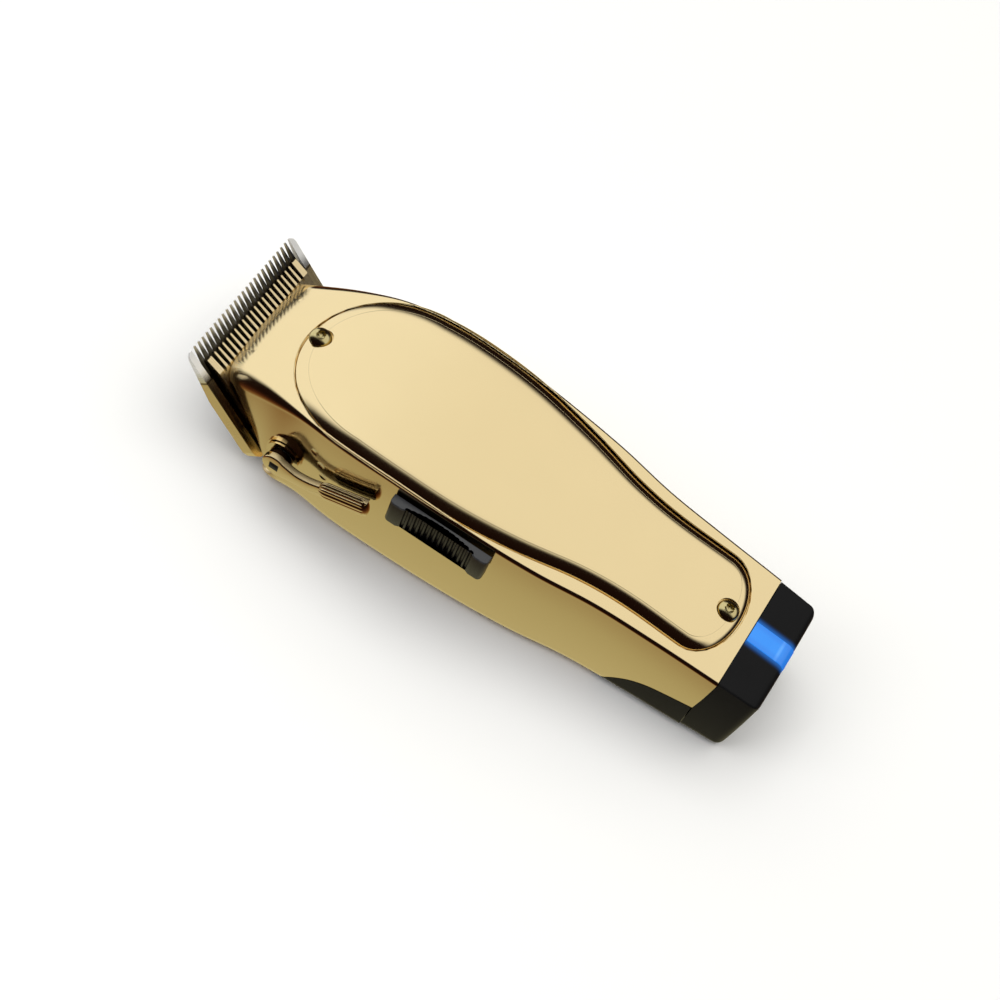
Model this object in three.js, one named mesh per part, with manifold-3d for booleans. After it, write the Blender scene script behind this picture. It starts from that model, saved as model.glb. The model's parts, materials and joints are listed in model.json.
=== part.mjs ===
// Cordless hair clipper with a polished metal housing, a taper lever and a slide switch.
//
// Units are millimetres and +Z is up. The clipper lies on its flat underside. A "station" is
// a distance along the long axis, counted from the tips of the fixed blade towards the rear.
// The lever and the switch are on the +X side. The last lines move the whole group so that
// its origin is on the underside, at the station originStation.
//
// The blade set has a frame of its own: +X across, +Y down the slope away from the tips
// ("slope"), and +Z square to the cutting plane, towards the housing ("lift").

import * as THREE from 'three';
import { mergeVertices } from 'three/addons/utils/BufferGeometryUtils.js';
import Module from 'manifold-3d';

const wasm = await Module();
wasm.setup();

// ---------------------------------------------------------------- driving dimensions

const gap = 0.3;                    // clearance between pieces that touch or slide
const originStation = 81;

// Housing
const bodyLength = 151;             // station of the seam between the housing and the end cap
const bodyHalfWidth = 24.4;
const shoulderHeight = 36.6;        // height of the crease along each side, at its highest
const wall = 2;
const floorThickness = 2;
const bottomRadius = 4;
const wallBulge = 0.45;
const heelFlare = 1.9;              // how far the heel behind the blade stands out at each side
const heelStation = 28;
const heelSpread = 6;
const deckDepth = 4.6;              // from the shoulder down to the ceiling of the cavity
const noseCrown = 0.7;

// Half-width and shoulder height along the body, as shares of the three sizes above.
const widthShares = [
  [0, 0.70], [0.066, 0.745], [0.172, 0.865], [0.298, 0.985], [0.40, 1], [0.543, 0.975],
  [0.662, 0.912], [0.768, 0.81], [0.874, 0.762], [1, 0.722], [1.1, 0.69],
];
const shoulderShares = [
  [0, 0.50], [0.061, 0.70], [0.119, 0.826], [0.172, 0.902], [0.225, 0.954], [0.331, 1],
  [0.437, 0.994], [0.596, 0.937], [0.755, 0.885], [0.914, 0.833], [1, 0.801], [1.1, 0.76],
];

// Lid
const lidFront = 20.4;              // station of the lid's front tip
const lidFrontReach = 26.6;         // length of its elliptical front
const lidRearMargin = 3.3;          // from the lid's rear tip to the seam
const lidRearReach = 9.7;
const lidThickness = 1.5;
const lidGap = 0.35;
const lidCrown = 2.1;               // how far the lid's middle stands above the shoulder
const lidSideDrop = 2.6;            // how far the lid's edge rolls down at the sides
const lidEndDrop = 1.7;             // and at its two ends
const lidRoll = 8;                  // exponent of the roll: higher keeps more of the top flat
const lidLedge = 3;                 // width of the ledge that the lid rests on
// Margin between the lid's edge and the crease, as [share of body length, margin].
const lidMargins = [
  [0.311, 0.75], [0.40, 0.5], [0.497, 0.85], [0.609, 2.5], [0.695, 4.1], [0.762, 4.25],
  [0.828, 4.05], [0.914, 3.3], [1, 3.0],
];

// Blades
const bladeWidth = 46;
const bladeAngle = 45.9;            // between the cutting plane and the long axis, degrees
const tipHeight = 30.7;
const fixedBladeLength = 36;
const fixedBladeThickness = 3.7;
const fixedBladeHeelBevel = 3;      // length of the bevel at its rear edge
const fixedBladeHeelThickness = 2.6;
const toothTipThickness = 0.5;
const toothRunOut = 16;             // where the blade reaches its full thickness
const toothPitch = 1.72;
const fixedGapCount = 25;
const fixedGapDepth = 10.4;
const cutterTipSetback = 5;
const cutterLength = 21.5;
const cutterWidth = 39;
const cutterThickness = 1.6;
const cutterGapCount = 21;
const cutterGapDepth = 5.6;
const bladeSeatLift = 3.2;          // the housing's front face above the cutting plane
const lipLift = 2.25;               // and its lip at the nose, which reaches lower
const lipDepth = 14;                // slope at which the lip steps up to the seat
const frontWall = 2.2;
const bladeTravel = 2.46;           // how far the lever pulls the fixed blade back

// Taper lever
const leverStation = 31.3;
const leverHeight = 17.5;
const leverPivot = [leverStation, leverHeight];
const leverShaftRadius = 3;
const crankRadius = 3.6;
const crankPinRadius = 1.3;
const crankHalfSwing = 20;          // degrees either side of the crank's middle position
const leverReach = 26.5;            // from the pivot to the end of the thumb pad
const leverHubRadius = 5;
const leverBossInset = 0.4;         // from the body's widest wall in to the boss under the hub
const leverBossFace = bodyHalfWidth - leverBossInset;
const leverWasher = 0.5;
const leverThickness = 2.4;
const detentRadius = 11.8;
const detentAngles = [10, 30, 50];

// Power switch
const switchStation = 75.7;
const switchHeight = 29.9;
const switchLength = 27.8;
const switchDepth = 8.8;            // across the wall, in Z
const switchStand = 2.8;            // how far its ends stand out from their base
const switchScoop = 1.5;
const switchRibs = 13;
const switchTravel = 4.5;
const switchNeckLength = 7;
const switchNeckHeight = 3;
const switchNeckDrop = 1.4;         // how far the neck sits below the button's middle

// Drive
const driveHeight = 17;             // height of the motor's axis
const motorFront = 47.5;
const motorRadius = 12.2;
const motorLength = 28.5;
const motorBellLength = 3;
const motorBossRadius = 3.5;
const motorBossLength = 2;
const motorShaftRadius = 1;
const mountThickness = 2;
const eccentricRadius = 4.2;
const eccentricThickness = 3;
const eccentricOffset = 1;
const eccentricPinRadius = 1.2;
const eccentricPinLength = 4.6;
const armPivotStation = 32.5;
const armPinRadius = 2;
const armThickness = 4;
const armTipHalfWidth = 2;
const armTip = 19.6;                // station of the front end of the drive arm

// Power supply
const cellRadius = 9.2;
const cellFloorGap = 1;             // from the floor up to the cell
const cellHeight = floorThickness + cellFloorGap + cellRadius;
const cellFrontGap = 4.4;           // from the motor's end bell to the cell
const cellRearGap = 4;              // from the cell to the seam
const boardThickness = 1.2;
const boardHalfWidth = 13;
const boardStand = 2;               // from the cell up to the circuit board
const boardHeight = cellHeight + cellRadius + boardStand;
const cradleWall = 2.3;
const cradleHalfWidth = cellRadius + cradleWall;

// End cap
const capLength = 11.9;
const capInset = 0.3;               // step between the housing and the cap
const capWall = 2;
const capLean = 0.07;               // how far the rear face leans forwards per unit of depth
const capRounding = 2.4;
const guideHalfWidth = 2.5;
const guideThickness = 1.2;
const guideLow = 21;                // height at which the light guide ends on the rear face
const socketHeight = 12.5;
const socketRadius = 4;
const socketBore = 2.75;
const socketPinRadius = 0.65;
const socketDepth = 9;

// Underside cover: its edge on the side wall, as [distance before the seam, height]
const coverEdge = [
  [28, -0.01], [25.4, 1.6], [21.7, 6.2], [18.1, 9.5], [14, 11.6], [9.7, 12.7], [1.5, 14.2],
];
const capSkirt = [[1.5, 14.2], [0.7, 20.6], [0, 28]];
const capCorner = 1.5;              // how far the cap's lower front edge runs under the housing

// Fasteners
const lidScrewFront = 23.4;
const lidScrewRearMargin = 7.4;     // from the rear lid screw to the seam
const screwHeadRadius = 2.9;
const screwHeadHeight = 1.7;
const screwShaftRadius = 1.1;
const screwLength = 6;
const smallHeadRadius = 2;
const smallHeadHeight = 1.1;
const bladeScrewX = 12;
const bladeScrewSlope = 31;
const coverScrewX = cellRadius + 3.4;
const coverScrewMargin = 22;        // from the cover screws to the seam
const capScrewX = 12.5;
const capScrewHeight = 19;

// ---------------------------------------------------------------- materials

function finish(color, roughness, metalness) {
  return new THREE.MeshStandardMaterial({ color, roughness, metalness });
}

const gold = finish(0xd9b45f, 0.12, 1);
const steel = finish(0xd8d8d6, 0.28, 1);
const darkSteel = finish(0x8d8f92, 0.35, 1);
const blackPlastic = finish(0x1b1b1c, 0.42, 0);
const greyPlastic = finish(0x3a3c3e, 0.55, 0);
const whitePlastic = finish(0xd9d6cc, 0.5, 0);
const blueGlow = finish(0x2f9bf0, 0.25, 0);
const brass = finish(0xb58a3c, 0.3, 1);
const boardGreen = finish(0x1f5a3a, 0.5, 0);
const cellSleeve = finish(0x2c5fae, 0.4, 0);
const nickel = finish(0xc2c0b8, 0.3, 1);

// ---------------------------------------------------------------- small tools

const degrees = THREE.MathUtils.degToRad;

/** A closed geometry as a solid that can be joined and cut. */
function solid(geometry) {
  const bare = geometry.clone();
  bare.deleteAttribute('normal');
  bare.deleteAttribute('uv');
  const merged = mergeVertices(bare, 1e-4);
  return new wasm.Manifold(new wasm.Mesh({
    numProp: 3,
    vertProperties: new Float32Array(merged.attributes.position.array),
    triVerts: new Uint32Array(merged.index.array),
  }));
}

/** The surface of a solid, as a geometry. */
function surface(body) {
  const mesh = body.getMesh();
  const geometry = new THREE.BufferGeometry();
  geometry.setAttribute('position', new THREE.BufferAttribute(mesh.vertProperties, 3));
  geometry.setIndex(new THREE.BufferAttribute(mesh.triVerts, 1));
  geometry.computeVertexNormals();
  return geometry;
}

function piece(name, shape, material) {
  const geometry = shape instanceof THREE.BufferGeometry ? shape : surface(shape);
  const mesh = new THREE.Mesh(geometry, material);
  mesh.name = name;
  return mesh;
}

function joined(solids) {
  return solids.reduce((whole, next) => whole.add(next));
}

function cut(whole, cutters) {
  return cutters.reduce((rest, next) => rest.subtract(next), whole);
}

/** A smooth function through a list of [position, value] points. */
function curveThrough(points) {
  const slopes = points.map((point, i) => {
    const before = points[Math.max(i - 1, 0)];
    const after = points[Math.min(i + 1, points.length - 1)];
    return (after[1] - before[1]) / (after[0] - before[0]);
  });
  return (position) => {
    let i = 0;
    while (i < points.length - 2 && position > points[i + 1][0]) i += 1;
    const [start, low] = points[i];
    const [end, high] = points[i + 1];
    const span = end - start;
    const t = THREE.MathUtils.clamp((position - start) / span, 0, 1);
    const hermite = (2 * t ** 3 - 3 * t ** 2 + 1) * low + (3 * t ** 2 - 2 * t ** 3) * high;
    return hermite + span * ((t ** 3 - 2 * t ** 2 + t) * slopes[i] + (t ** 3 - t ** 2) * slopes[i + 1]);
  };
}

/** A box given by its low and high corners. */
function box(low, high) {
  const size = high.map((value, i) => value - low[i]);
  const geometry = new THREE.BoxGeometry(...size);
  geometry.translate(...low.map((value, i) => value + size[i] / 2));
  return solid(geometry);
}

/** A plane outline of [across, up] points pulled along X, Y or Z between two planes. */
function extruded(points, axis, from, to) {
  const shape = new THREE.Shape(points.map(([u, v]) => new THREE.Vector2(u, v)));
  const geometry = new THREE.ExtrudeGeometry(shape, { depth: to - from, bevelEnabled: false });
  geometry.translate(0, 0, from);
  const turns = {
    x: new THREE.Matrix4().set(0, 0, 1, 0, 1, 0, 0, 0, 0, 1, 0, 0, 0, 0, 0, 1),
    y: new THREE.Matrix4().set(0, 1, 0, 0, 0, 0, 1, 0, 1, 0, 0, 0, 0, 0, 0, 1),
    z: new THREE.Matrix4(),
  };
  geometry.applyMatrix4(turns[axis]);
  return solid(geometry);
}

/** A round rod along X, Y or Z, from one plane to another, centred on the other two values. */
function rod(radius, axis, from, to, centre, sides = 20) {
  const geometry = new THREE.CylinderGeometry(radius, radius, to - from, sides);
  const middle = (from + to) / 2;
  if (axis === 'x') geometry.rotateZ(-Math.PI / 2).translate(middle, centre[0], centre[1]);
  if (axis === 'y') geometry.translate(centre[0], middle, centre[1]);
  if (axis === 'z') geometry.rotateX(Math.PI / 2).translate(centre[0], centre[1], middle);
  return solid(geometry);
}

/** A closed skin over rings of points that all have the same number of points. */
function loft(rings) {
  const count = rings[0].length;
  const positions = rings.flat(2);
  const faces = [];
  for (let r = 0; r < rings.length - 1; r += 1) {
    for (let i = 0; i < count; i += 1) {
      const a = r * count + i;
      const b = r * count + ((i + 1) % count);
      faces.push(a, a + count, b, b, a + count, b + count);
    }
  }
  const flat = (ring) => ring.map(([x, , z]) => new THREE.Vector2(x, z));
  const last = (rings.length - 1) * count;
  THREE.ShapeUtils.triangulateShape(flat(rings[0]), []).forEach(([a, b, c]) => faces.push(a, b, c));
  THREE.ShapeUtils.triangulateShape(flat(rings.at(-1)), [])
    .forEach(([a, b, c]) => faces.push(last + a, last + c, last + b));
  const geometry = new THREE.BufferGeometry();
  geometry.setAttribute('position', new THREE.Float32BufferAttribute(positions, 3));
  geometry.setIndex(faces);
  return solid(geometry);
}

// ---------------------------------------------------------------- the body's shape

const scaled = (shares, size) => curveThrough(shares.map(([at, share]) => [at * bodyLength, share * size]));
const halfWidthAt = scaled(widthShares, bodyHalfWidth);
const shoulderAt = scaled(shoulderShares, shoulderHeight);
const seam = bodyLength;

/** How far the lower wall stands outside the crease, at a station. */
function flareAt(station) {
  return heelFlare * Math.exp(-(((station - heelStation) / heelSpread) ** 2));
}

/** The fillet of the shoulder: broad at the nose, and a crease behind it. */
function shoulderRadiusAt(station) {
  return THREE.MathUtils.lerp(5, 0.9, THREE.MathUtils.smoothstep(station, 10, 38));
}

/** Quarter of a circle as [across, up] points, between two angles in degrees. */
function arc(centre, radius, from, to, steps) {
  return Array.from({ length: steps + 1 }, (_, i) => {
    const angle = degrees(from + ((to - from) * i) / steps);
    return [centre[0] + radius * Math.cos(angle), centre[1] + radius * Math.sin(angle)];
  });
}

/** Half of a body section, from the middle of the floor round to the middle of the top. */
function sectionHalf(station, inset, floor, top, crown) {
  const half = halfWidthAt(station) - inset;
  const lower = half + flareAt(station);
  const corner = Math.max(bottomRadius - inset, 1);
  const shoulder = Math.max(shoulderRadiusAt(station) - inset, 0.6);
  const middle = (half + lower) / 2 + wallBulge;
  return [
    [0, floor],
    ...arc([lower - corner, floor + corner], corner, -90, 0, 3),
    [middle, floor + (top - floor) * 0.5],
    ...arc([half - shoulder, top - shoulder], shoulder, 0, 80, 3),
    [half * 0.55, top + crown * 0.7],
    [0, top + crown],
  ];
}

/** A whole section as a ring, at a station that may lean with height. */
function sectionRing(station, inset, floor, top, crown, stationOf = () => station) {
  const half = sectionHalf(station, inset, floor, top, crown);
  const mirrored = half.slice(1, -1).reverse().map(([x, z]) => [-x, z]);
  return [...half, ...mirrored].map(([x, z]) => [x, stationOf(z), z]);
}

function spaced(from, to, step) {
  const count = Math.ceil((to - from) / step);
  return Array.from({ length: count + 1 }, (_, i) => from + ((to - from) * i) / count);
}

/** The body's outer form, or the form of a cavity inside it. */
function bodyForm(from, to, inset = 0) {
  const inside = inset > 0;
  const stations = [...spaced(from, 40, 3.2), ...spaced(40, to, 7).slice(1)]
    .filter((station) => station >= from);
  return loft(stations.map((station) => sectionRing(
    station,
    inset,
    inside ? floorThickness : 0,
    inside ? shoulderAt(station) - deckDepth : shoulderAt(station),
    inside ? 0 : noseCrown,
  )));
}

// ---------------------------------------------------------------- the blade's frame

const bladeFrame = new THREE.Matrix4()
  .makeRotationX(-degrees(bladeAngle))
  .setPosition(0, 0, tipHeight);
const inBladeFrame = (body) => body.transform(bladeFrame.elements);

/** [slope, lift] of a point given by its station and height. */
function toBlade(station, height) {
  const point = new THREE.Vector3(0, station, height).applyMatrix4(bladeFrame.clone().invert());
  return [point.y, point.z];
}

const [leverSlope, leverLift] = toBlade(leverStation, leverHeight);
const crankPin = {
  slope: leverSlope - crankRadius * Math.sin(degrees(crankHalfSwing)),
  lift: leverLift - crankRadius * Math.cos(degrees(crankHalfSwing)),
};
const bracket = { front: cutterTipSetback + cutterLength + 1, low: gap, high: 2.2 };
const tongue = { left: 13, right: 16.5, half: crankPinRadius + gap + 1.6 };
const leverFlange = { inner: tongue.right + 0.9, outer: tongue.right + 2.5 };
const driveBlock = { half: 5, front: 19, rear: 26, base: 0.5, height: 5.6 };

// ---------------------------------------------------------------- lid

const lidRear = seam - lidRearMargin;
const lidSpine = [lidFront + lidFrontReach, lidRear - lidRearReach];
const lidMarginAt = curveThrough(lidMargins.map(([at, margin]) => [at * bodyLength, margin]));

/** The lid's outline as [x, station] points, counter-clockwise from the front tip. */
function lidOutline(offset) {
  const half = (station) => halfWidthAt(station) - lidMarginAt(station) + offset;
  const [front, rear] = lidSpine;
  const right = [
    ...arc([0, 0], 1, -90, 0, 9).map(([x, y]) => [x * half(front), front + y * (lidFrontReach + offset)]),
    ...spaced(front, rear, 9).slice(1, -1).map((station) => [half(station), station]),
    ...arc([0, 0], 1, 0, 90, 7).map(([x, y]) => [x * half(rear), rear + y * (lidRearReach + offset)]),
  ];
  return [...right, ...right.slice(1, -1).reverse().map(([x, y]) => [-x, y])];
}

/** Height of the lid's top at a point, where ring runs from 0 on the spine to 1 at the edge. */
function lidTop(x, station, ring) {
  const fromFront = THREE.MathUtils.smoothstep(station, lidFront + 4, lidFront + 26);
  const fromRear = THREE.MathUtils.smoothstep(lidRear - station, 0, lidRearReach);
  const drop = THREE.MathUtils.lerp(lidEndDrop, lidSideDrop, fromFront * fromRear);
  return shoulderAt(station) + lidCrown - drop * ring ** lidRoll;
}

/** A solid with the lid's plan, between two heights given as functions. */
function lidSolid(offset, topOf, bottomOf, ringShares = [1]) {
  const outline = lidOutline(offset);
  const [front, rear] = lidSpine;
  const rings = [...ringShares, 0].map((ring) => outline.map(([x, y]) => {
    const spineY = THREE.MathUtils.clamp(y, front, rear);
    return [x * ring, spineY + (y - spineY) * ring, ring];
  }));
  const count = outline.length;
  const topPoints = rings.flat().map(([x, y, ring]) => [x, y, topOf(x, y, ring)]);
  const bottomPoints = rings.flat().map(([x, y, ring]) => [x, y, bottomOf(x, y, ring)]);
  const faces = [];
  const offsetOf = topPoints.length;
  for (let i = 0; i < count; i += 1) {
    const j = (i + 1) % count;
    for (let r = 0; r < rings.length - 1; r += 1) {
      const [a, b, c, d] = [r * count + i, r * count + j, (r + 1) * count + i, (r + 1) * count + j];
      faces.push(a, b, c, b, d, c);
      faces.push(offsetOf + a, offsetOf + c, offsetOf + b, offsetOf + b, offsetOf + c, offsetOf + d);
    }
    faces.push(i, offsetOf + i, j, j, offsetOf + i, offsetOf + j);
  }
  const geometry = new THREE.BufferGeometry();
  const positions = [...topPoints, ...bottomPoints].flat();
  geometry.setAttribute('position', new THREE.Float32BufferAttribute(positions, 3));
  geometry.setIndex(faces);
  return solid(dropSlivers(geometry));
}

/** Merges equal points and drops the faces that this leaves without an area. */
function dropSlivers(geometry) {
  const merged = mergeVertices(geometry, 1e-4);
  const index = Array.from(merged.index.array);
  const kept = [];
  for (let i = 0; i < index.length; i += 3) {
    const [a, b, c] = index.slice(i, i + 3);
    if (a !== b && b !== c && a !== c) kept.push(a, b, c);
  }
  merged.setIndex(kept);
  return merged;
}

const lidScrewStations = { front: lidScrewFront, rear: seam - lidScrewRearMargin };
const lidScrewSeat = (station) => lidTop(0, station, 0) - 0.9;

function makeLid() {
  const underside = (x, y, ring) => lidTop(x, y, ring) - lidThickness;
  const plate = lidSolid(0, lidTop, underside, [1, 0.94, 0.86, 0.72, 0.4]);
  const spots = Object.values(lidScrewStations).flatMap((station) => [
    rod(screwHeadRadius + gap, 'z', lidScrewSeat(station), 60, [0, station], 20),
    rod(screwShaftRadius + gap, 'z', 0, 60, [0, station], 12),
  ]);
  return cut(plate, spots);
}

/** A button-head screw that points down, with a six-sided recess and its seat at height 0. */
function buttonScrew(headRadius, headHeight, length) {
  const dome = arc([0, 0], 1, 0, 90, 4).map(([x, y]) => new THREE.Vector2(x * headRadius, y * headHeight));
  const profile = [
    new THREE.Vector2(0, -length),
    new THREE.Vector2(screwShaftRadius, -length),
    new THREE.Vector2(screwShaftRadius, 0),
    ...dome,
  ];
  const blank = solid(new THREE.LatheGeometry(profile, 16).rotateX(Math.PI / 2));
  return cut(blank, [rod(headRadius * 0.42, 'z', headHeight * 0.35, headHeight * 2, [0, 0], 6)]);
}

// ---------------------------------------------------------------- housing, cover and cap

/** The side profile below the cover's edge, up to a given line before the seam. */
function coverProfile(shift) {
  const edge = coverEdge.map(([before, height]) => [seam - before + shift, height - shift]);
  const end = seam - capCorner - gap;
  return [[edge[0][0], -5], ...edge.slice(0, -1), [end, edge.at(-1)[1]], [end, -5]];
}

/** The side profile of everything behind the front edge of the end cap. */
function capProfile(shift) {
  const edge = capSkirt.map(([before, height]) => [seam - before + shift, height]);
  return [[edge[0][0], -5], ...edge, [edge.at(-1)[0], 60], [seam + 30, 60], [seam + 30, -5]];
}

const across = 60;
const frontCutSlope = fixedBladeLength + bladeTravel + 0.9;
const driveWindow = { half: 8, front: driveBlock.front - 2, rear: driveBlock.rear + 2.5 };
const coverScrewStation = seam - coverScrewMargin;
const switchNeckCentre = switchHeight - switchNeckDrop;
const cavityCeiling = (station) => shoulderAt(station) - deckDepth;

function makeHousing() {
  const cavity = bodyForm(8, seam + 10, wall)
    .intersect(inBladeFrame(box([-across, -20, bladeSeatLift + frontWall], [across, 300, 300])));
  const recess = lidSolid(lidGap, () => 60, (x, y) => lidTop(x, y, 1) - lidThickness - gap);
  const access = lidSolid(-lidLedge, () => 61, (x, y) => cavityCeiling(y) - 4);
  const shell = cut(bodyForm(2, seam, 0), [
    inBladeFrame(box([-across, -40, -80], [across, lipDepth, lipLift])),
    inBladeFrame(box([-across, lipDepth - 1, -80], [across, frontCutSlope, bladeSeatLift])),
    inBladeFrame(box([-across, frontCutSlope - 1, -80], [across, 90, -fixedBladeHeelThickness])),
    cavity,
    access,
  ]);

  const lidBosses = Object.values(lidScrewStations).map((station) => {
    const top = lidScrewSeat(station) - lidThickness - gap;
    return rod(3.4, 'z', top - 4.6, top, [0, station], 16);
  });
  const pivotBoss = rod(4, 'z', 1, 12, [0, armPivotStation], 16);
  const sideBosses = [-1, 1].flatMap((side) => {
    const xRange = (inner) => {
      const outer = halfWidthAt(coverScrewStation) - 1;
      return side > 0 ? [inner, outer] : [-outer, -inner];
    };
    const [low, high] = xRange(coverScrewX - 2.4);
    const [lowCap, highCap] = side > 0
      ? [capScrewX - 2.5, halfWidthAt(seam) - 0.6]
      : [-(halfWidthAt(seam) - 0.6), -(capScrewX - 2.5)];
    return [
      box([low, coverScrewStation - 2.5, 11.8], [high, coverScrewStation + 2.5, 20]),
      box([lowCap, seam - 7, capScrewHeight - 2.5], [highCap, seam - 0.2, capScrewHeight + 2.5]),
    ];
  });
  const leverBoss = rod(leverHubRadius, 'x', leverFlange.outer + gap, leverBossFace, leverPivot, 20);
  const whole = joined([shell, ...lidBosses, pivotBoss, leverBoss, ...sideBosses]);

  const wallHalf = halfWidthAt(leverStation + 8) + wallBulge;
  const dimples = detentAngles.map((angle) => {
    const centre = [
      leverStation + detentRadius * Math.cos(degrees(angle)),
      leverHeight + detentRadius * Math.sin(degrees(angle)),
    ];
    return rod(1.3, 'x', wallHalf - 0.35, wallHalf + 6, centre, 10);
  });
  const screwHoles = [
    ...Object.values(lidScrewStations).map((station) => (
      rod(screwShaftRadius + gap, 'z', 14, 60, [0, station], 12)
    )),
    ...[-1, 1].flatMap((side) => [
      rod(screwShaftRadius + gap, 'z', 5, 18.5, [side * coverScrewX, coverScrewStation], 12),
      rod(screwShaftRadius + gap, 'y', seam - 5.5, seam + 5, [side * capScrewX, capScrewHeight], 12),
    ]),
  ];
  const slotEnd = switchTravel / 2;
  const switchMiddle = switchStation + slotEnd;
  const slotHalf = switchNeckLength / 2 + slotEnd + gap;
  return cut(whole, [
    recess,
    extruded(coverProfile(0), 'x', -across, across),
    extruded(capProfile(-gap), 'x', -across, across),
    inBladeFrame(box([-driveWindow.half, driveWindow.front, 2], [driveWindow.half, driveWindow.rear, 6.4])),
    inBladeFrame(box(
      [tongue.left - 0.6, crankPin.slope - tongue.half - 0.6, 2],
      [tongue.right + 0.6, crankPin.slope + tongue.half + bladeTravel + 0.6, 6.4],
    )),
    rod(leverShaftRadius + gap, 'x', 15, 40, leverPivot, 20),
    rod(armPinRadius + gap, 'z', 5, 20, [0, armPivotStation], 16),
    box(
      [15, switchMiddle - slotHalf, switchNeckCentre - switchNeckHeight / 2 - gap],
      [40, switchMiddle + slotHalf, switchNeckCentre + switchNeckHeight / 2 + gap],
    ),
    ...dimples,
    ...screwHoles,
  ]);
}

function makeBottomCover() {
  const skin = bodyForm(100, seam, 0).intersect(extruded(coverProfile(gap), 'x', -across, across));
  const sleeves = [-1, 1].map((side) => (
    rod(2.4, 'z', 0.5, 11.5, [side * coverScrewX, coverScrewStation], 14)
  ));
  const holes = [-1, 1].flatMap((side) => [
    rod(screwShaftRadius + gap, 'z', -5, 20, [side * coverScrewX, coverScrewStation], 12),
    rod(smallHeadRadius + gap, 'z', -5, smallHeadHeight + 0.5, [side * coverScrewX, coverScrewStation], 16),
  ]);
  return cut(joined([skin.subtract(bodyForm(90, seam + 10, wall)), ...sleeves]), holes);
}

const capEnd = seam + capLength;

/** The cap's form, drawn in on every side by a depth. */
function capForm(depth, from = seam - 6) {
  const leanFrom = shoulderAt(seam);
  const ends = [0, 0.45, 0.8, 1].map((share) => ({
    station: capEnd - depth - capRounding * (1 - share),
    inset: capInset + depth + capRounding * (1 - Math.sqrt(1 - Math.min(share, 0.995) ** 2)),
  }));
  const rings = [{ station: from, inset: capInset + depth }, ...ends].map(({ station, inset }) => {
    const share = THREE.MathUtils.smoothstep(station, seam - 2, capEnd - 3);
    const lean = (z) => capLean * (leanFrom - z) * share;
    return sectionRing(station, inset, inset - capInset, shoulderAt(station) - inset + capInset * 0.4,
      noseCrown, (z) => station - Math.max(lean(z), 0));
  });
  return loft(rings);
}

function makeEndCap() {
  const region = extruded(capProfile(0), 'x', -across, across);
  const block = capForm(0).intersect(region).subtract(capForm(capWall, seam - 10));
  const groove = capForm(-1).subtract(capForm(guideThickness + gap, seam - 10))
    .intersect(box(
      [-guideHalfWidth - gap, seam - 5, guideLow - gap],
      [guideHalfWidth + gap, capEnd + 5, 60],
    ));
  const towers = [-1, 1].map((side) => {
    const edge = side * (halfWidthAt(seam) - capInset - 1);
    const inner = side * (capScrewX - 2.6);
    return box(
      [Math.min(edge, inner), seam + gap + 0.2, capScrewHeight - 2.6],
      [Math.max(edge, inner), seam + 6, capScrewHeight + 2.6],
    );
  });
  const holes = [-1, 1].flatMap((side) => [
    rod(screwShaftRadius + gap, 'y', seam - 5, seam + 30, [side * capScrewX, capScrewHeight], 12),
    rod(smallHeadRadius + gap, 'y', capEnd - 5.2, seam + 30, [side * capScrewX, capScrewHeight], 16),
  ]);
  return cut(joined([block, ...towers]), [
    groove,
    box([-1.9, seam + 1.4, 20], [1.9, seam + 5, 40]),
    rod(socketRadius + gap, 'y', seam + 2, seam + 30, [0, socketHeight], 20),
    ...holes,
  ]);
}

function makeLightGuide() {
  return capForm(0).subtract(capForm(guideThickness, seam - 10))
    .intersect(box([-guideHalfWidth, seam + gap, guideLow], [guideHalfWidth, capEnd + 5, 60]));
}

const socketFace = capEnd - capLean * (shoulderAt(seam) - socketHeight) - 0.5;

function makeChargeSocket() {
  const start = socketFace - socketDepth;
  return cut(rod(socketRadius, 'y', start, socketFace, [0, socketHeight], 20), [
    rod(socketBore, 'y', start + 2, socketFace + 1, [0, socketHeight], 16),
  ]);
}

function makeChargePin() {
  const root = socketFace - socketDepth + 2 + gap;
  return rod(socketPinRadius, 'y', root, socketFace - 1, [0, socketHeight], 10);
}

// ---------------------------------------------------------------- blade set

/** One gap between teeth: wider at the tips, with a pointed root. */
function toothGap(x, tip, root, tipWidth, rootWidth) {
  return extruded([
    [x - tipWidth / 2, tip - 2],
    [x + tipWidth / 2, tip - 2],
    [x + rootWidth / 2, root - rootWidth],
    [x, root],
    [x - rootWidth / 2, root - rootWidth],
  ], 'z', -10, 10);
}

function toothGaps(count, tip, depth, tipWidth, rootWidth) {
  return Array.from({ length: count }, (_, i) => (
    toothGap((i - (count - 1) / 2) * toothPitch, tip, tip + depth, tipWidth, rootWidth)
  ));
}

const bladeScrewAt = (hand) => [hand * bladeScrewX, bladeScrewSlope];

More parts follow.
